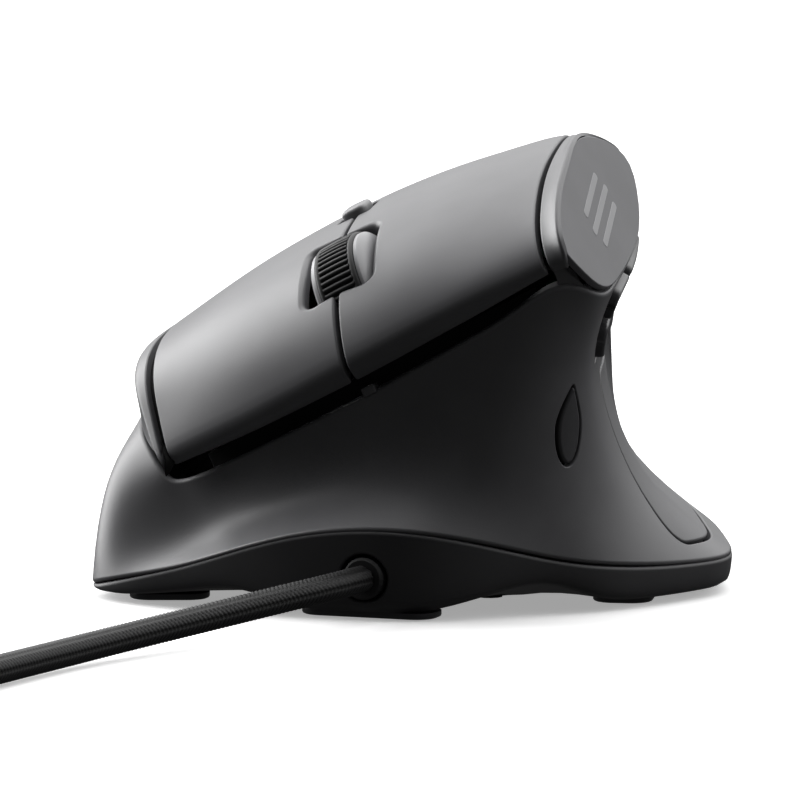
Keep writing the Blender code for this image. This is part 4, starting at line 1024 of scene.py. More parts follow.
def crest_loop(surface):
    """The crest's open end, drawn in by a margin, on the plate's own flat map."""
    skin = [TOP.at_uv(CREST_EDGE, v) for v in np.arange(0.5, 7.05, 0.25)]
    skin += [WALLS.at_uv(u, 0.0) for u in np.arange(11.0, 6.2, -0.25)]
    edge = np.array([(point[1], (point - BARREL_START) @ UPRIGHT) for point in skin])
    for _ in range(2):
        edge = (np.roll(edge, 1, axis=0) + 2 * edge + np.roll(edge, -1, axis=0)) / 4
    along = np.roll(edge, -1, axis=0) - np.roll(edge, 1, axis=0)
    inward = unit(np.stack([along[:, 1], -along[:, 0]], axis=1))
    return on_plate(surface, edge + inward * PLATE_MARGIN)


def make_crest():
    """The flat plate on the crest, and the mark on it."""
    surface = plate_surface()
    edge = Edge(surface, crest_loop(surface), 0.25)
    arrays = panel_arrays(surface, [edge], 1.0, 2.0)
    add_piece(shell_mesh("crest_plate", [arrays]), finish("plate_skin"),
              replaces=("crest_plate",))
    make_mark(surface)


# Each bar's middle (y, rise) and how long it is.
MARK = ((-28.6, 10.7, 13.0), (-27.5, 8.2, 15.0), (-26.4, 5.7, 13.0))
MARK_HALF = 0.6


def make_mark(surface):
    """A plain mark of three slanted bars with round ends, set into the plate."""
    parts = []
    direction = unit(np.array([0.91, 0.41]))
    slant = math.atan2(direction[1], direction[0])
    for y, rise, reach in MARK:
        middle = np.array([y, rise])
        ends = [middle - direction * reach / 2, middle + direction * reach / 2]
        loop = []
        for end, turn in zip(ends, (math.pi / 2, -math.pi / 2)):
            for step in range(9):
                angle = slant + turn + math.pi * step / 8
                loop.append(end + MARK_HALF * np.array([math.cos(angle), math.sin(angle)]))
        edge = Edge(surface, on_plate(surface, loop), 0.05)
        parts.append(panel_arrays(surface, [edge], 0.3, 1.0, 0.04))
    add_piece(shell_mesh("crest_mark", parts), finish("mark_skin"))


def ring_edge(surface, top_roll, bottom_roll, step=0.8):
    """The outline of a surface that goes all the way round, rolled at its two open edges only."""
    width, height = surface.xs[-1], surface.ys[-1]
    across = np.linspace(0, width, int(width / step))
    up = np.linspace(0, height, int(height / step))[1:-1]
    places = np.concatenate([
        np.stack([across, np.zeros(len(across))], 1),
        np.stack([width * np.ones(len(up)), up], 1),
        np.stack([across[::-1], height * np.ones(len(across))], 1),
        np.stack([np.zeros(len(up)), up[::-1]], 1),
    ])
    counts = [len(across), len(up), len(across), len(up)]
    rolls = np.repeat([top_roll, 0.0, bottom_roll, 0.0], counts)
    slope = np.repeat([1.0, 0.0, -1.0, 0.0], counts)
    edge = Edge(surface, places, rolls)
    tall = np.array([0.0, 0.05])
    stretch = np.linalg.norm(surface.at(places + tall) - surface.at(places - tall), axis=1) / 0.1
    edge.inward = np.stack([np.zeros(len(places)), slope / stretch], axis=1)
    edge.places, edge.rolls = places, rolls
    return edge


def wall_view(u, v):
    """(origin, right, up) of a view square to the walls."""
    origin = WALLS.at_uv(u, v)
    square = WALLS.normal_uv(u, v)
    along = WALLS.at_uv(u + 0.1, v) - WALLS.at_uv(u - 0.1, v)
    along = unit(along - square * (along @ square))
    return origin, along, np.cross(square, along)


def teardrop(margin=0.0):
    """The outline of the small key: a point at the top and a round lower end."""
    points = []
    for step in range(48):
        angle = 2 * math.pi * step / 48
        narrowing = 1.0 - 0.62 * max(0.0, math.sin(angle)) ** 1.5
        points.append(
            ((2.1 + margin) * math.cos(angle) * narrowing, (5.6 + margin) * math.sin(angle))
        )
    return points


def teardrop_edge(margin, roll, hole):
    """The small key's outline on the walls, as the key's own edge or as its opening's."""
    places = WALLS.seek(*wall_view(*SNIPER_AT), teardrop(margin), SNIPER_AT)
    return Edge(WALLS, places, roll, hole)


def frame_corners(start, end, top, bottom, margins, radius, roll):
    """The corners of a rectangle on a surface, grown by margins."""
    grow_u, grow_v = margins
    return patch((start - grow_u, top - grow_v), (end + grow_u, bottom + grow_v), radius, roll)


def opening(surface, corners):
    """A hole's edge, from its corners."""
    return Edge(surface, *outline(surface, corners), hole=True)


def make_walls():
    """The walls all round, with openings for the thumb keys, the thumb panel and the small key."""
    housing = settings().housing
    keys = list(THUMB_KEYS.values())
    around = (min(k[0] for k in keys), max(k[1] for k in keys), min(k[2] for k in keys),
              max(k[3] for k in keys))
    holes = [
        opening(WALLS, frame_corners(*around, (0.05, 0.05), 1.2, 0.3)),
        opening(WALLS, frame_corners(*THUMB_PANEL, (0.03, 0.03), 3.0, 0.3)),
        teardrop_edge(0.5, 0.25, True),
    ]
    edge = ring_edge(WALLS, housing.roll / MM, 0.3)
    arrays = panel_arrays(WALLS, [edge] + holes, housing.wall / MM, housing.spacing / MM)
    add_piece(shell_mesh("body_shell", [arrays]), finish("shell_skin"), replaces=("body_shell",))


def make_thumb_panel():
    """The inlaid panel where the thumb rests."""
    corners = frame_corners(*THUMB_PANEL, (0.0, 0.0), 2.7, 0.35)
    wall = settings().housing.wall / MM
    panel("thumb_panel", WALLS, corners, finish("grip_skin"), wall)


def make_thumb_keys():
    """The four keys in the walls' upper opening."""
    for name, key in THUMB_KEYS.items():
        corners = frame_corners(*key, (0.0, 0.0), 1.3, 0.5)
        panel(name, WALLS, corners, finish("thumb_skin"), THUMB_KEY_DEPTH, name,
              lift=THUMB_KEY_LIFT, spacing=1.0)


def make_small_keys():
    """The teardrop key on the walls and the key behind the wheel."""
    edge = teardrop_edge(0.0, 0.45, False)
    arrays = panel_arrays(WALLS, [edge], SNIPER_KEY_DEPTH, 0.8, SNIPER_KEY_LIFT)
    add_piece(shell_mesh("sniper_key", [arrays]), finish("thumb_skin"), "sniper_key",
              ("sniper_key",))
    (low_s, low_y), (high_s, high_y) = DPI_KEY
    places = recess_places([(low_s, low_y), (high_s, low_y), (high_s, high_y), (low_s, high_y)])
    corners = [(u, v, 1.7, 0.7) for u, v in places]
    panel("dpi_key", TOP, corners, finish("key_skin"), DPI_KEY_DEPTH, "dpi_key",
          lift=DPI_KEY_LIFT, spacing=0.8)


# Base ----------------------------------------------------------------------------------------

BASE_WALL = 1.6
MOUTH_RADIUS = 3.6
SCREW_HOLE_RADIUS = 2.4
SENSOR_HOLE_RADIUS = 4.0
# The share of the way to the rim where the underside starts to rise, and the rest of the way.
FLAT_SHARE, RISING_SHARE = 0.72, 0.28


def floor_arrays(rim, holes, thickness, spacing=3.0):
    """The underside within the lower edge of the base's sides, as panel_arrays returns it."""
    loops, points, start = [], [], 0
    for loop in [rim[:, :2]] + holes:
        loops.append((start, len(loop)))
        points.append(loop)
        start += len(loop)
    fill = lattice(rim.min(0)[:2], rim.max(0)[:2], spacing)
    fill = fill[inside(rim[:, :2], fill)]
    fill = fill[far_from(fill, rim[:, :2], spacing * 0.5)]
    for hole in holes:
        fill = fill[~inside(hole, fill)]
        fill = fill[far_from(fill, hole, 1.0)]
    flat, sources, faces = triangulate(loops, np.concatenate(points + [fill]))
    middles = flat[faces].mean(1)
    keep = inside(rim[:, :2], middles)
    for hole in holes:
        keep &= ~inside(hole, middles)
    faces = faces[keep]
    angles = np.arctan2(rim[:, 1], rim[:, 0])
    order = np.argsort(angles)
    reach = np.linalg.norm(rim[:, :2], axis=1)
    turn = np.arctan2(flat[:, 1], flat[:, 0])
    whole_turn = 2 * math.pi
    edge_reach = np.interp(turn, angles[order], reach[order], period=whole_turn)
    share = np.linalg.norm(flat, axis=1) / edge_reach
    lift = np.interp(turn, angles[order], rim[order, 2], period=whole_turn) - FLOOR_BOTTOM
    height = FLOOR_BOTTOM + lift * np.clip((share - FLAT_SHARE) / RISING_SHARE, 0, 1)
    on_rim = (sources >= 0) & (sources < len(rim))
    height = np.where(on_rim, rim[np.clip(sources, 0, len(rim) - 1), 2], height)
    outer = np.column_stack([flat, height])
    ends = flat[faces]
    area = np.cross(ends[:, 1] - ends[:, 0], ends[:, 2] - ends[:, 0])
    if np.median(area) > 0:
        faces = faces[:, ::-1]
    down = np.tile([0.0, 0.0, -1.0], (len(outer), 1))
    return outer, outer + [0, 0, thickness], down, faces


def circle(middle, radius, count=32):
    """The points of a circle."""
    turns = np.linspace(0, 2 * math.pi, count, endpoint=False)
    return np.stack([middle[0] + radius * np.cos(turns), middle[1] + radius * np.sin(turns)], 1)


def make_base():
    """The base: its sides with the cable's mouth, and its underside with the screw holes."""
    edge = ring_edge(BASE, 0.3, 0.0)
    rightward, upward = np.array([1.0, 0.0, 0.0]), np.array([0.0, 0.0, 1.0])
    ring = circle((0.0, 0.0), MOUTH_RADIUS, 40)
    mouth = BASE.seek(CABLE_EXIT, rightward, upward, ring, (3.1, 1.3))
    arrays = panel_arrays(BASE, [edge, Edge(BASE, mouth, 0.35, True)], BASE_WALL,
                          settings().housing.spacing / MM)
    height = BASE.ys[-1]
    lowest = edge.places[np.isclose(edge.places[:, 1], height)][:-1]
    rim = BASE.at(lowest)
    holes = [circle(place, SCREW_HOLE_RADIUS) for place in SCREWS_AT]
    holes.append(circle(SENSOR_AT, SENSOR_HOLE_RADIUS))
    mesh = shell_mesh("base_shell", [arrays, floor_arrays(rim, holes, BASE_WALL)])
    add_piece(mesh, finish("base_skin"), replaces=("base_shell",))


# Each pad's middle (x, y), length, width and turn in degrees.
FEET = {
    "foot_front_left": (-32.0, -44.0, 12.0, 8.0, 20.0),
    "foot_front_middle": (3.0, -51.3, 21.0, 8.0, 0.0),
    "foot_thumb": (32.0, -19.0, 9.0, 18.0, 12.0),
    "foot_rear": (-10.0, 45.0, 26.0, 8.0, 0.0),
}


def stadium(length_mm, width, radius, steps=8):
    """The (x, y) points of a rectangle with round corners."""
    points = []
    for corner, (sx, sy) in enumerate(((1, 1), (-1, 1), (-1, -1), (1, -1))):
        for step in range(steps + 1):
            angle = math.radians(90 * (corner + step / steps))
            x = sx * (length_mm / 2 - radius) + radius * math.cos(angle)
            points.append((x, sy * (width / 2 - radius) + radius * math.sin(angle)))
    return np.array(points)


def prism(loops):
    """The points and faces of a solid that is skinned over stacked loops and capped."""
    count = len(loops[0])
    points = np.concatenate(loops)
    faces = [tuple(range(count))[::-1], tuple(range(len(points) - count, len(points)))]
    for level in range(len(loops) - 1):
        for i in range(count):
            j = (i + 1) % count
            low = level * count
            faces.append((low + i, low + j, low + count + j, low + count + i))
    return points, faces


def make_feet():
    """Slippery pads under the base, with a rounded lower edge."""
    for name, (x, y, long, wide, turn) in FEET.items():
        angle = math.radians(turn)
        spin = np.array([[math.cos(angle), math.sin(angle)], [-math.sin(angle), math.cos(angle)]])
        loops = []
        for inset, z in ((0.35, 0.0), (0.12, 0.10), (0.0, 0.30), (0.0, 0.95)):
            flat = stadium(long - 2 * inset, wide - 2 * inset, 3.4 - inset) @ spin + [x, y]
            loops.append(np.column_stack([flat, np.full(len(flat), z)]))
        mesh = plain_mesh(name, *prism(loops))
        mesh.set_sharp_from_angle(angle=math.radians(50))
        add_piece(mesh, finish("foot_skin"), replaces=(name,))


# Wheel ---------------------------------------------------------------------------------------


def lathe(name, profile, steps=96):
    """A mesh turned about local Z from a closed (radius, height) profile."""
    turns = np.linspace(0, 2 * math.pi, steps, endpoint=False)
    radii, heights = np.transpose(profile)
    points = np.stack([
        np.outer(np.cos(turns), radii), np.outer(np.sin(turns), radii),
        np.tile(heights, (steps, 1)),
    ], -1).reshape(-1, 3)
    count = len(profile)
    faces = []
    for row in range(steps):
        near, far = row * count, (row + 1) % steps * count
        for i in range(count):
            j = (i + 1) % count
            faces.append((near + i, far + i, far + j, near + j))
    mesh = plain_mesh(name, points, faces)
    face_out(mesh)
    mesh.set_sharp_from_angle(angle=math.radians(35))
    return mesh


def wheel_matrix():
    """From the wheel's own frame, with Z along its axle, to the object's."""
    turn = Matrix([(REARWARD[i], UPRIGHT[i], ACROSS[i]) for i in range(3)])
    return Matrix.Translation(Vector(barrel(*WHEEL_AT)) * MM) @ turn.to_4x4()


def rib_tree(finish_material):
    """Geometry nodes that set ribs round a wheel and join them to its tyre."""
    tree = bpy.data.node_groups.new("tyre_ribs", "GeometryNodeTree")
    face = tree.interface
    face.new_socket("Geometry", in_out="INPUT", socket_type="NodeSocketGeometry")
    sockets = {}
    for name, kind in (("Ribs", "NodeSocketInt"), ("Ring Radius", "NodeSocketFloat"),
                       ("Rib Radius", "NodeSocketFloat"), ("Rib Width", "NodeSocketFloat"),
                       ("Crown", "NodeSocketFloat")):
        sockets[name] = face.new_socket(name, in_out="INPUT", socket_type=kind).identifier
    face.new_socket("Geometry", in_out="OUTPUT", socket_type="NodeSocketGeometry")
    new, link = tree.nodes.new, tree.links.new
    given, result = new("NodeGroupInput"), new("NodeGroupOutput")

    ring = new("GeometryNodeMeshCircle")
    link(given.outputs["Ribs"], ring.inputs["Vertices"])
    link(given.outputs["Ring Radius"], ring.inputs["Radius"])
    spine = new("GeometryNodeCurveQuadraticBezier")
    spine.inputs["Resolution"].default_value = 8
    for socket, share in (("Start", -0.5), ("End", 0.5)):
        half = new("ShaderNodeMath")
        half.operation = "MULTIPLY"
        half.inputs[1].default_value = share
        link(given.outputs["Rib Width"], half.inputs[0])
        place = new("ShaderNodeCombineXYZ")
        link(half.outputs[0], place.inputs["Z"])
        link(place.outputs[0], spine.inputs[socket])
    middle = new("ShaderNodeCombineXYZ")
    link(given.outputs["Crown"], middle.inputs["X"])
    link(middle.outputs[0], spine.inputs["Middle"])
    section = new("GeometryNodeCurvePrimitiveCircle")
    section.inputs["Resolution"].default_value = 8
    link(given.outputs["Rib Radius"], section.inputs["Radius"])
    rib = new("GeometryNodeCurveToMesh")
    rib.inputs["Fill Caps"].default_value = True
    link(spine.outputs[0], rib.inputs["Curve"])
    link(section.outputs[0], rib.inputs["Profile Curve"])
    place = new("GeometryNodeInputPosition")
    aim = new("FunctionNodeAlignRotationToVector")
    aim.axis = "X"
    aim.pivot_axis = "Z"
    link(place.outputs[0], aim.inputs["Vector"])
    spread = new("GeometryNodeInstanceOnPoints")
    link(ring.outputs[0], spread.inputs["Points"])
    link(rib.outputs[0], spread.inputs["Instance"])
    link(aim.outputs[0], spread.inputs["Rotation"])
    both = new("GeometryNodeJoinGeometry")
    link(spread.outputs[0], both.inputs[0])
    link(given.outputs["Geometry"], both.inputs[0])
    real = new("GeometryNodeRealizeInstances")
    link(both.outputs[0], real.inputs[0])
    coat = new("GeometryNodeSetMaterial")
    coat.inputs["Material"].default_value = finish_material
    link(real.outputs[0], coat.inputs["Geometry"])
    link(coat.outputs[0], result.inputs[0])
    return tree, sockets


def evaluated_mesh(obj, name):
    """An object's mesh as its modifiers leave it; the object itself is removed."""
    bpy.context.view_layer.update()
    graph = bpy.context.evaluated_depsgraph_get()
    mesh = bpy.data.meshes.new_from_object(obj.evaluated_get(graph), depsgraph=graph)
    bpy.data.objects.remove(obj, do_unlink=True)
    mesh.name = name
    return mesh


def make_tyre():
    """The rubber tyre: smooth shoulders either side of a ribbed tread."""
    wheel = settings().wheel
    half, radius = wheel.tyre_width / MM / 2, wheel.tyre_radius / MM
    floor = radius - 0.5
    tyre = lathe("tyre_blank", [
        (8.3, -half), (9.05, -half), (radius - 0.35, -half + 0.1), (radius - 0.15, -half + 0.45),
        (radius - 0.3, -half + 0.85), (floor, -half + 1.0), (floor, half - 1.0),
        (radius - 0.3, half - 0.85), (radius - 0.15, half - 0.45), (radius - 0.35, half - 0.1),
        (9.05, half), (8.3, half),
    ])
    obj = bpy.data.objects.new("tyre_blank", tyre)
    bpy.context.scene.collection.objects.link(obj)
    tree, sockets = rib_tree(finish("tyre_skin"))
    ribs = obj.modifiers.new("ribs", "NODES")
    ribs.node_group = tree
    rib = wheel.rib_radius
    for name, value in (("Ribs", wheel.ribs), ("Ring Radius", wheel.tyre_radius - rib - 0.10 * MM),
                        ("Rib Radius", rib), ("Rib Width", wheel.tyre_width - 1.7 * MM),
                        ("Crown", 0.2 * MM)):
        ribs[sockets[name]] = value
    mesh = evaluated_mesh(obj, "wheel_tyre")
    mesh.transform(wheel_matrix())
    mesh.shade_smooth()
    mesh.set_sharp_from_angle(angle=math.radians(60))
    add_piece(mesh, finish("tyre_skin"), "scroll_wheel", ("wheel_tyre",))


def make_hub():
    """The wheel's core, whose two sides are shallow domes."""
    cheek = [
        (1.0, 5.05), (3.0, 5.05), (5.4, 4.98), (7.4, 4.75), (8.5, 4.35), (8.95, 3.95),
        (9.0, 3.45), (8.15, 3.4),
    ]
    profile = cheek + [(radius, -height) for radius, height in reversed(cheek)]
    mesh = lathe("wheel_core", profile)
    mesh.transform(wheel_matrix())
    add_piece(mesh, finish("hub_skin"), "scroll_wheel", ("wheel_core",))


def make_rim_bridge():
    """The small block on the walls' rim that fills the gap under the split."""
    places = [barrel(s, y, n) for s, y, n in (
        (32.6, -50.8, -2.6), (34.8, -50.8, -2.6), (34.8, -48.4, -2.6), (32.6, -48.4, -2.6),
    )]
    loops = [np.array([place + UPRIGHT * up for place in places]) for up in (0.0, 1.45)]
    points, faces = prism(loops)
    mesh = plain_mesh("rim_bridge_blank", points, faces)
    obj = bpy.data.objects.new("rim_bridge_blank", mesh)
    bpy.context.scene.collection.objects.link(obj)
    bevel = obj.modifiers.new("edges", "BEVEL")
    bevel.width = 0.35 * MM
    bevel.segments = 3
    made = evaluated_mesh(obj, "rim_bridge")
    bpy.data.meshes.remove(mesh)
    add_piece(made, finish("shell_skin"))


# Cable ---------------------------------------------------------------------------------------

# The coil: its turns' radii and layers, where the lead joins it (angle, radius and how many
# degrees it takes to ease in), how far a turn takes to change lane, and where the tail leaves
# (angle, degrees to change, radius and height).
COIL_RADII = (26.7, 22.55, 18.4)
COIL_LAYERS = 4
COIL_PITCH = 4.15
LEAD_IN = (-24.6, 31.46, 60.0)
CHANGE = 50.0
LAST_TURN = (333.0, 80.0, 24.3, 18.95)
BRAID_VISIBLE = 100.0


def ease(share):
    """A share of the way, with a gentle start and end."""
    share = np.clip(share, 0.0, 1.0)
    return share * share * (3 - 2 * share)


def coil_path(step=4.0):
    """The cable's turns, layer on layer, wound clockwise from the lead's end to the tail's start."""
    angle, wide, sweep = LEAD_IN
    low = COIL_PITCH / 2
    places = [
        (angle - turn, wide + (COIL_RADII[0] - wide) * ease(turn / sweep), low)
        for turn in np.arange(step, sweep, step)
    ]
    start = angle - sweep
    turns = COIL_LAYERS * len(COIL_RADII)
    spots = []
    for turn in range(turns):
        layer, k = divmod(turn, len(COIL_RADII))
        order = k if layer % 2 == 0 else len(COIL_RADII) - 1 - k
        spots.append((COIL_RADII[order], low + COIL_PITCH * layer))
    last, change, radius, height = LAST_TURN
    spots.append((radius, height))
    for turn in range(turns):
        sweep = 360.0 if turn < turns - 1 else last
        over = CHANGE if turn < turns - 1 else change
        for progress in np.arange(0.0, sweep, step):
            share = ease((progress - sweep + over) / over)
            near, far = np.array(spots[turn]), np.array(spots[turn + 1])
            places.append((start - 360.0 * turn - progress, *(near + (far - near) * share)))
    return np.array([
        (COIL_AT[0] + r * math.cos(math.radians(a)), COIL_AT[1] + r * math.sin(math.radians(a)), z)
        for a, r, z in places
    ])


def cable_path():
    """The whole centreline, from the mouse to the plug."""
    lead = smooth_path(CABLE_ROUTE, 120)
    tail = smooth_path([(COIL_AT[0] + x, COIL_AT[1] + y, z) for x, y, z in TAIL_ROUTE], 30)
    return np.concatenate([lead, coil_path(), tail])


def spaced(path, lengths):
    """Points at the given lengths along a path."""
    run = Surface.run(path)
    return np.stack([np.interp(lengths, run, path[:, i]) for i in range(3)], 1)


def braid_relief(along, around):
    """How far the sleeve stands out: lanes of slanting strands, leaning to and fro in turn."""
    cable = settings().cable
    lanes = around / (2 * math.pi) * cable.lanes
    lane = np.floor(lanes)
    across = 2 * (lanes - lane) - 1
    lean = np.where(lane % 2 == 0, 1.0, -1.0)
    strand = (along * MM / cable.strand_pitch + 0.95 * lean * across + 0.37 * lane) % 1.0
    ridge = np.sqrt(np.clip(1 - (2 * strand - 1) ** 2, 0, 1))
    return cable.strand_height / MM * ridge * np.sqrt(np.clip(1 - across**4, 0.04, 1))


def make_cable():
    """The one braided cable, from the base to the plug, with fine strands where it is seen."""
    cable = settings().cable
    path = cable_path()
    total = Surface.run(path)[-1]
    fine = np.arange(0.0, BRAID_VISIBLE, cable.strand_pitch / MM / 6)
    lengths = np.concatenate([fine, np.arange(BRAID_VISIBLE, total, 1.9), [total]])
    middle = spaced(path, lengths)
    ahead = unit(spaced(path, lengths + 0.8) - spaced(path, lengths - 0.8))
    side = unit(np.cross(ahead, [0.0, 0.0, 1.0]))
    up = np.cross(side, ahead)
    around = np.linspace(0, 2 * math.pi, 48, endpoint=False)
    relief = braid_relief(lengths[:, None], around[None])
    coarse = (lengths > BRAID_VISIBLE)[:, None]
    relief = np.where(coarse, cable.strand_height / MM, relief)
    radius = (cable.diameter / 2 - cable.strand_height) / MM + relief
    cosines, sines = (turn[None, :, None] for turn in (np.cos(around), np.sin(around)))
    ring = side[:, None] * cosines + up[:, None] * sines
    points = (middle[:, None] + ring * radius[..., None]).reshape(-1, 3)
    count, rows = len(around), len(lengths)
    faces = [
        (row * count + i, (row + 1) * count + i, (row + 1) * count + (i + 1) % count,
         row * count + (i + 1) % count)
        for row in range(rows - 1) for i in range(count)
    ]
    faces += [tuple(range(count)), tuple(range(rows * count - 1, (rows - 1) * count - 1, -1))]
    mesh = plain_mesh("braided_cable", points, faces)
    # How far each point stands out, which the braid's finish turns into painted shade in the hollows.
    strand = mesh.attributes.new("strand", "FLOAT", "POINT")
    strand.data.foreach_set("value", (relief * MM / cable.strand_height).astype(np.float32).ravel())
    solids = ("cable_lead", "cable_coil", "cable_tail")
    obj = add_piece(mesh, finish("braid"), replaces=solids)
    face_out(mesh)
    spaced(path, np.linspace(0, total, 1000)) * MM


# Model nodes that stay -----------------------------------------------------------------------

NODE_FINISHES = {
    "board": ("main_board", "button_board", "dpi_board", "thumb_board"),
    "component_skin": (
        "controller_chip", "optical_sensor", "left_switch", "right_switch", "dpi_switch",
        "sniper_switch", "wheel_switch", "wheel_encoder", "thumb_switch_front_upper",
        "thumb_switch_front_lower", "thumb_switch_rear_upper", "thumb_switch_rear_lower",
        "cable_connector",
    ),
    # The inner frame and the wheel's cradle are darkened to near-black as painted shade behind the
    # gaps.
    "inner_and_painted_shade_skin": ("inner_frame", "wheel_cradle"),
    "steel": ("plug_shell", "wheel_axle", "cradle_pin"),
    "black_steel": ("case_screw_1", "case_screw_2", "case_screw_3", "case_screw_4"),
    "lens_skin": ("sensor_lens",),
    "grommet_skin": ("strain_relief", "cable_tie", "plug_relief"),
    "plug_skin": ("plug_body",),
}


def finish_nodes():
    """Puts a finish on each node of the model that stays."""
    for name, nodes in NODE_FINISHES.items():
        for node in nodes:
            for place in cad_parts[node].material_slots:
                place.material = finish(name)


# Stage ---------------------------------------------------------------------------------------

CAMERA_AT = (0.31492, -0.89612, 0.12637)
CAMERA_TURN = (84.0, 0.0, 20.0)
OVERHEAD_AT, OVERHEAD_SIZE = (-0.1, 0.25, 1.1), (1.0, 1.0)
LEFT_AT, LEFT_SIZE = (-1.12, 0.16, 0.44), (1.1, 1.1)
LIGHTS_AIM = (0.0, 0.0, 0.03)
FLOOR_HALF = 4.0
FLOOR_DROP = 0.0002
# Where the studio turns from dark to bright: by how far behind, and by how high.
BRIGHTENING = (("Y", -0.35, 0.35), ("Z", -0.05, 0.55))


def make_world():
    """A studio, bright behind and above the mouse, dark in front, and white to the camera."""
    stage = settings().stage
    world = bpy.data.worlds.new("studio")
    bpy.context.scene.world = world
    world.use_nodes = True
    tree = world.node_tree
    tree.nodes.clear()
    new, link = tree.nodes.new, tree.links.new
    direction = new("ShaderNodeTexCoord")
    parts = new("ShaderNodeSeparateXYZ")
    link(direction.outputs["Generated"], parts.inputs[0])
    ranges = []
    for axis, low, high in BRIGHTENING:
        ramp = new("ShaderNodeMapRange")
        ramp.interpolation_type = "SMOOTHSTEP"
        ramp.inputs["From Min"].default_value = low
        ramp.inputs["From Max"].default_value = high
        link(parts.outputs[axis], ramp.inputs["Value"])
        ranges.append(ramp.outputs["Result"])
    both = new("ShaderNodeMath")
    both.operation = "MULTIPLY"
    for socket, source in zip(both.inputs, ranges):
        link(source, socket)
    spread = new("ShaderNodeMapRange")
    spread.inputs["To Min"].default_value = stage.front_light
    spread.inputs["To Max"].default_value = stage.back_light
    link(both.outputs[0], spread.inputs["Value"])
    studio, white = new("ShaderNodeBackground"), new("ShaderNodeBackground")
    link(spread.outputs["Result"], studio.inputs["Strength"])
    white.inputs["Strength"].default_value = 1.0
    for background in (studio, white):
        background.inputs["Color"].default_value = (1.0, 1.0, 1.0, 1.0)
    seen = new("ShaderNodeLightPath")
    choose, out = new("ShaderNodeMixShader"), new("ShaderNodeOutputWorld")
    link(seen.outputs["Is Camera Ray"], choose.inputs[0])
    link(studio.outputs[0], choose.inputs[1])
    link(white.outputs[0], choose.inputs[2])
    link(choose.outputs[0], out.inputs["Surface"])


def make_light(name, place, size, power):
    """A soft rectangular light that faces the mouse."""
    data = bpy.data.lights.new(name, "AREA")
    data.shape = "RECTANGLE"
    data.size, data.size_y = size
    data.energy = power
    obj = bpy.data.objects.new(name, data)
    bpy.context.scene.collection.objects.link(obj)
    obj.location = place
    ahead = Vector(LIGHTS_AIM) - Vector(place)
    obj.rotation_euler = ahead.to_track_quat("-Z", "Y").to_euler()


def paper():
    """Matt white paper, with the least unevenness, that never falls below a pale tone."""
    made = Finish("floor_paper", (0.95, 0.95, 0.95), 1.0, Specular_IOR_Level=0.0,
                  Emission_Color=(1.0, 1.0, 1.0, 1.0), Emission_Strength=0.35)
    made.shades(made.noise(400.0), 0.01)
    return made.material


def make_floor():
    """A sheet of white paper, which is seen but lights nothing and isn't mirrored."""
    form = bmesh.new()
    bmesh.ops.create_grid(form, x_segments=8, y_segments=8, size=FLOOR_HALF)
    mesh = bpy.data.meshes.new("floor")
    form.to_mesh(mesh)
    form.free()
    floor = bpy.data.objects.new("floor", mesh)
    floor.location.z = -FLOOR_DROP
    bpy.context.scene.collection.objects.link(floor)
    mesh.materials.append(paper())
    floor.visible_diffuse = False
    floor.visible_glossy = False


def make_stage():
    """The studio, its lights, the floor and the camera."""
    stage = settings().stage
    make_world()
    make_light("overhead", OVERHEAD_AT, OVERHEAD_SIZE, stage.top_light)
    make_light("left", LEFT_AT, LEFT_SIZE, stage.left_light)
    make_floor()
    camera = bpy.data.objects.new("camera", bpy.data.cameras.new("camera"))
    camera.data.lens = stage.focal_length
    camera.data.clip_start, camera.data.clip_end = 0.05, 20.0
    camera.location = CAMERA_AT
    camera.rotation_euler = [math.radians(angle) for angle in CAMERA_TURN]
    bpy.context.scene.collection.objects.link(camera)
    bpy.context.scene.camera = camera
    bpy.context.scene.view_settings.view_transform = "Standard"


# Add-on --------------------------------------------------------------------------------------


class MouseSettings(bpy.types.PropertyGroup):
    housing: bpy.props.PointerProperty(type=HousingSettings)
    wheel: bpy.props.PointerProperty(type=WheelSettings)
    cable: bpy.props.PointerProperty(type=CableSettings)
    stage: bpy.props.PointerProperty(type=StageSettings)


class MOUSE_OT_cable(bpy.types.Operator):
    """Lay the braided cable and wind its spare length"""
    bl_idname = "mouse.cable"
    bl_label = "Cable"

    def execute(self, context):
        make_cable()
        return {"FINISHED"}


class MOUSE_OT_buttons(bpy.types.Operator):
    """Build the two main buttons"""
    bl_idname = "mouse.buttons"
    bl_label = "Main buttons"

    def execute(self, context):
        make_buttons()
        return {"FINISHED"}


class MOUSE_OT_caps(bpy.types.Operator):
    """Build the end caps, the palm cover, and the near-black painted-shade lips that close the gaps
    behind them
    """
    bl_idname = "mouse.caps"
    bl_label = "Caps and palm"

    def execute(self, context):
        make_caps()
        make_neck()
        make_rim_bridge()
        make_shade_sheets()
        make_rim_shade_sheet()
        return {"FINISHED"}


class MOUSE_OT_crest(bpy.types.Operator):
    """Build the plate on the crest and its mark"""
    bl_idname = "mouse.crest"
    bl_label = "Crest plate"

    def execute(self, context):
        make_crest()
        return {"FINISHED"}


class MOUSE_OT_walls(bpy.types.Operator):
    """Build the walls and the thumb panel"""
    bl_idname = "mouse.walls"
    bl_label = "Walls"

    def execute(self, context):
        make_walls()
        make_thumb_panel()
        return {"FINISHED"}


class MOUSE_OT_keys(bpy.types.Operator):
    """Build the thumb keys, the teardrop key and the key behind the wheel"""
    bl_idname = "mouse.small_keys"
    bl_label = "Small keys"

    def execute(self, context):
        make_thumb_keys()
        make_small_keys()
        return {"FINISHED"}


class MOUSE_OT_base(bpy.types.Operator):
    """Build the base and its feet"""
    bl_idname = "mouse.base"
    bl_label = "Base and feet"

    def execute(self, context):
        make_base()
        make_feet()
        return {"FINISHED"}


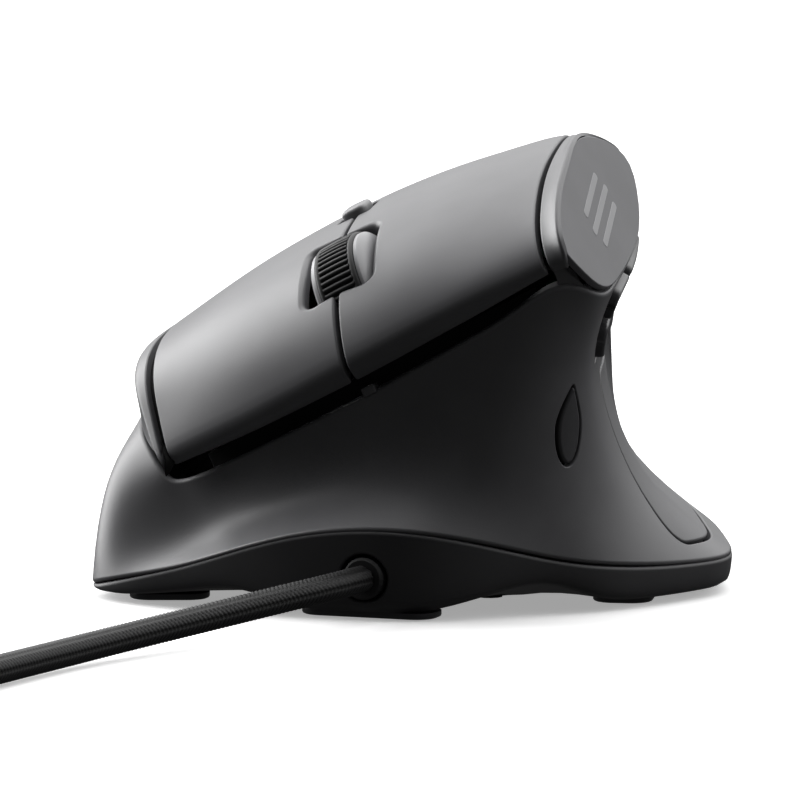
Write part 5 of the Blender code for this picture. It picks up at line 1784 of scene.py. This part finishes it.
class MOUSE_OT_wheel(bpy.types.Operator):
    """Build the scroll wheel's tyre and core"""
    bl_idname = "mouse.wheel"
    bl_label = "Scroll wheel"

    def execute(self, context):
        make_tyre()
        make_hub()
        return {"FINISHED"}


class MOUSE_OT_inside(bpy.types.Operator):
    """Give the model's own nodes their finishes"""
    bl_idname = "mouse.inside"
    bl_label = "Boards, screws and plug"

    def execute(self, context):
        finish_nodes()
        return {"FINISHED"}


class MOUSE_OT_stage(bpy.types.Operator):
    """Set out the floor, the studio light and the camera"""
    bl_idname = "mouse.stage"
    bl_label = "Stage"

    def execute(self, context):
        make_stage()
        return {"FINISHED"}


OPERATORS = (
    MOUSE_OT_stage, MOUSE_OT_cable, MOUSE_OT_walls, MOUSE_OT_buttons, MOUSE_OT_caps, MOUSE_OT_crest,
    MOUSE_OT_keys, MOUSE_OT_base, MOUSE_OT_wheel, MOUSE_OT_inside,
)


class MOUSE_PT_panel(bpy.types.Panel):
    """Lists what can be built"""
    bl_idname = "MOUSE_PT_panel"
    bl_label = "Upright Mouse"
    bl_space_type = "VIEW_3D"
    bl_region_type = "UI"
    bl_category = "Mouse"

    def draw(self, context):
        for operator in OPERATORS:
            self.layout.operator(operator.bl_idname)
        for group in ("housing", "wheel", "cable", "stage"):
            box = self.layout.box()
            part = getattr(context.scene.upright_mouse, group)
            for name in part.__annotations__:
                box.prop(part, name)


CLASSES = (
    HousingSettings, WheelSettings, CableSettings, StageSettings, MouseSettings, *OPERATORS,
    MOUSE_PT_panel,
)


def register():
    for kind in CLASSES:
        bpy.utils.register_class(kind)
    bpy.types.Scene.upright_mouse = bpy.props.PointerProperty(type=MouseSettings)


def unregister():
    del bpy.types.Scene.upright_mouse
    for kind in reversed(CLASSES):
        bpy.utils.unregister_class(kind)


def main():
    register()
    bpy.ops.mouse.stage()
    bpy.ops.mouse.cable()
    bpy.ops.mouse.walls()
    bpy.ops.mouse.buttons()
    bpy.ops.mouse.caps()
    bpy.ops.mouse.crest()
    bpy.ops.mouse.small_keys()
    bpy.ops.mouse.base()
    bpy.ops.mouse.wheel()
    bpy.ops.mouse.inside()


if __name__ == "__main__":
    main()
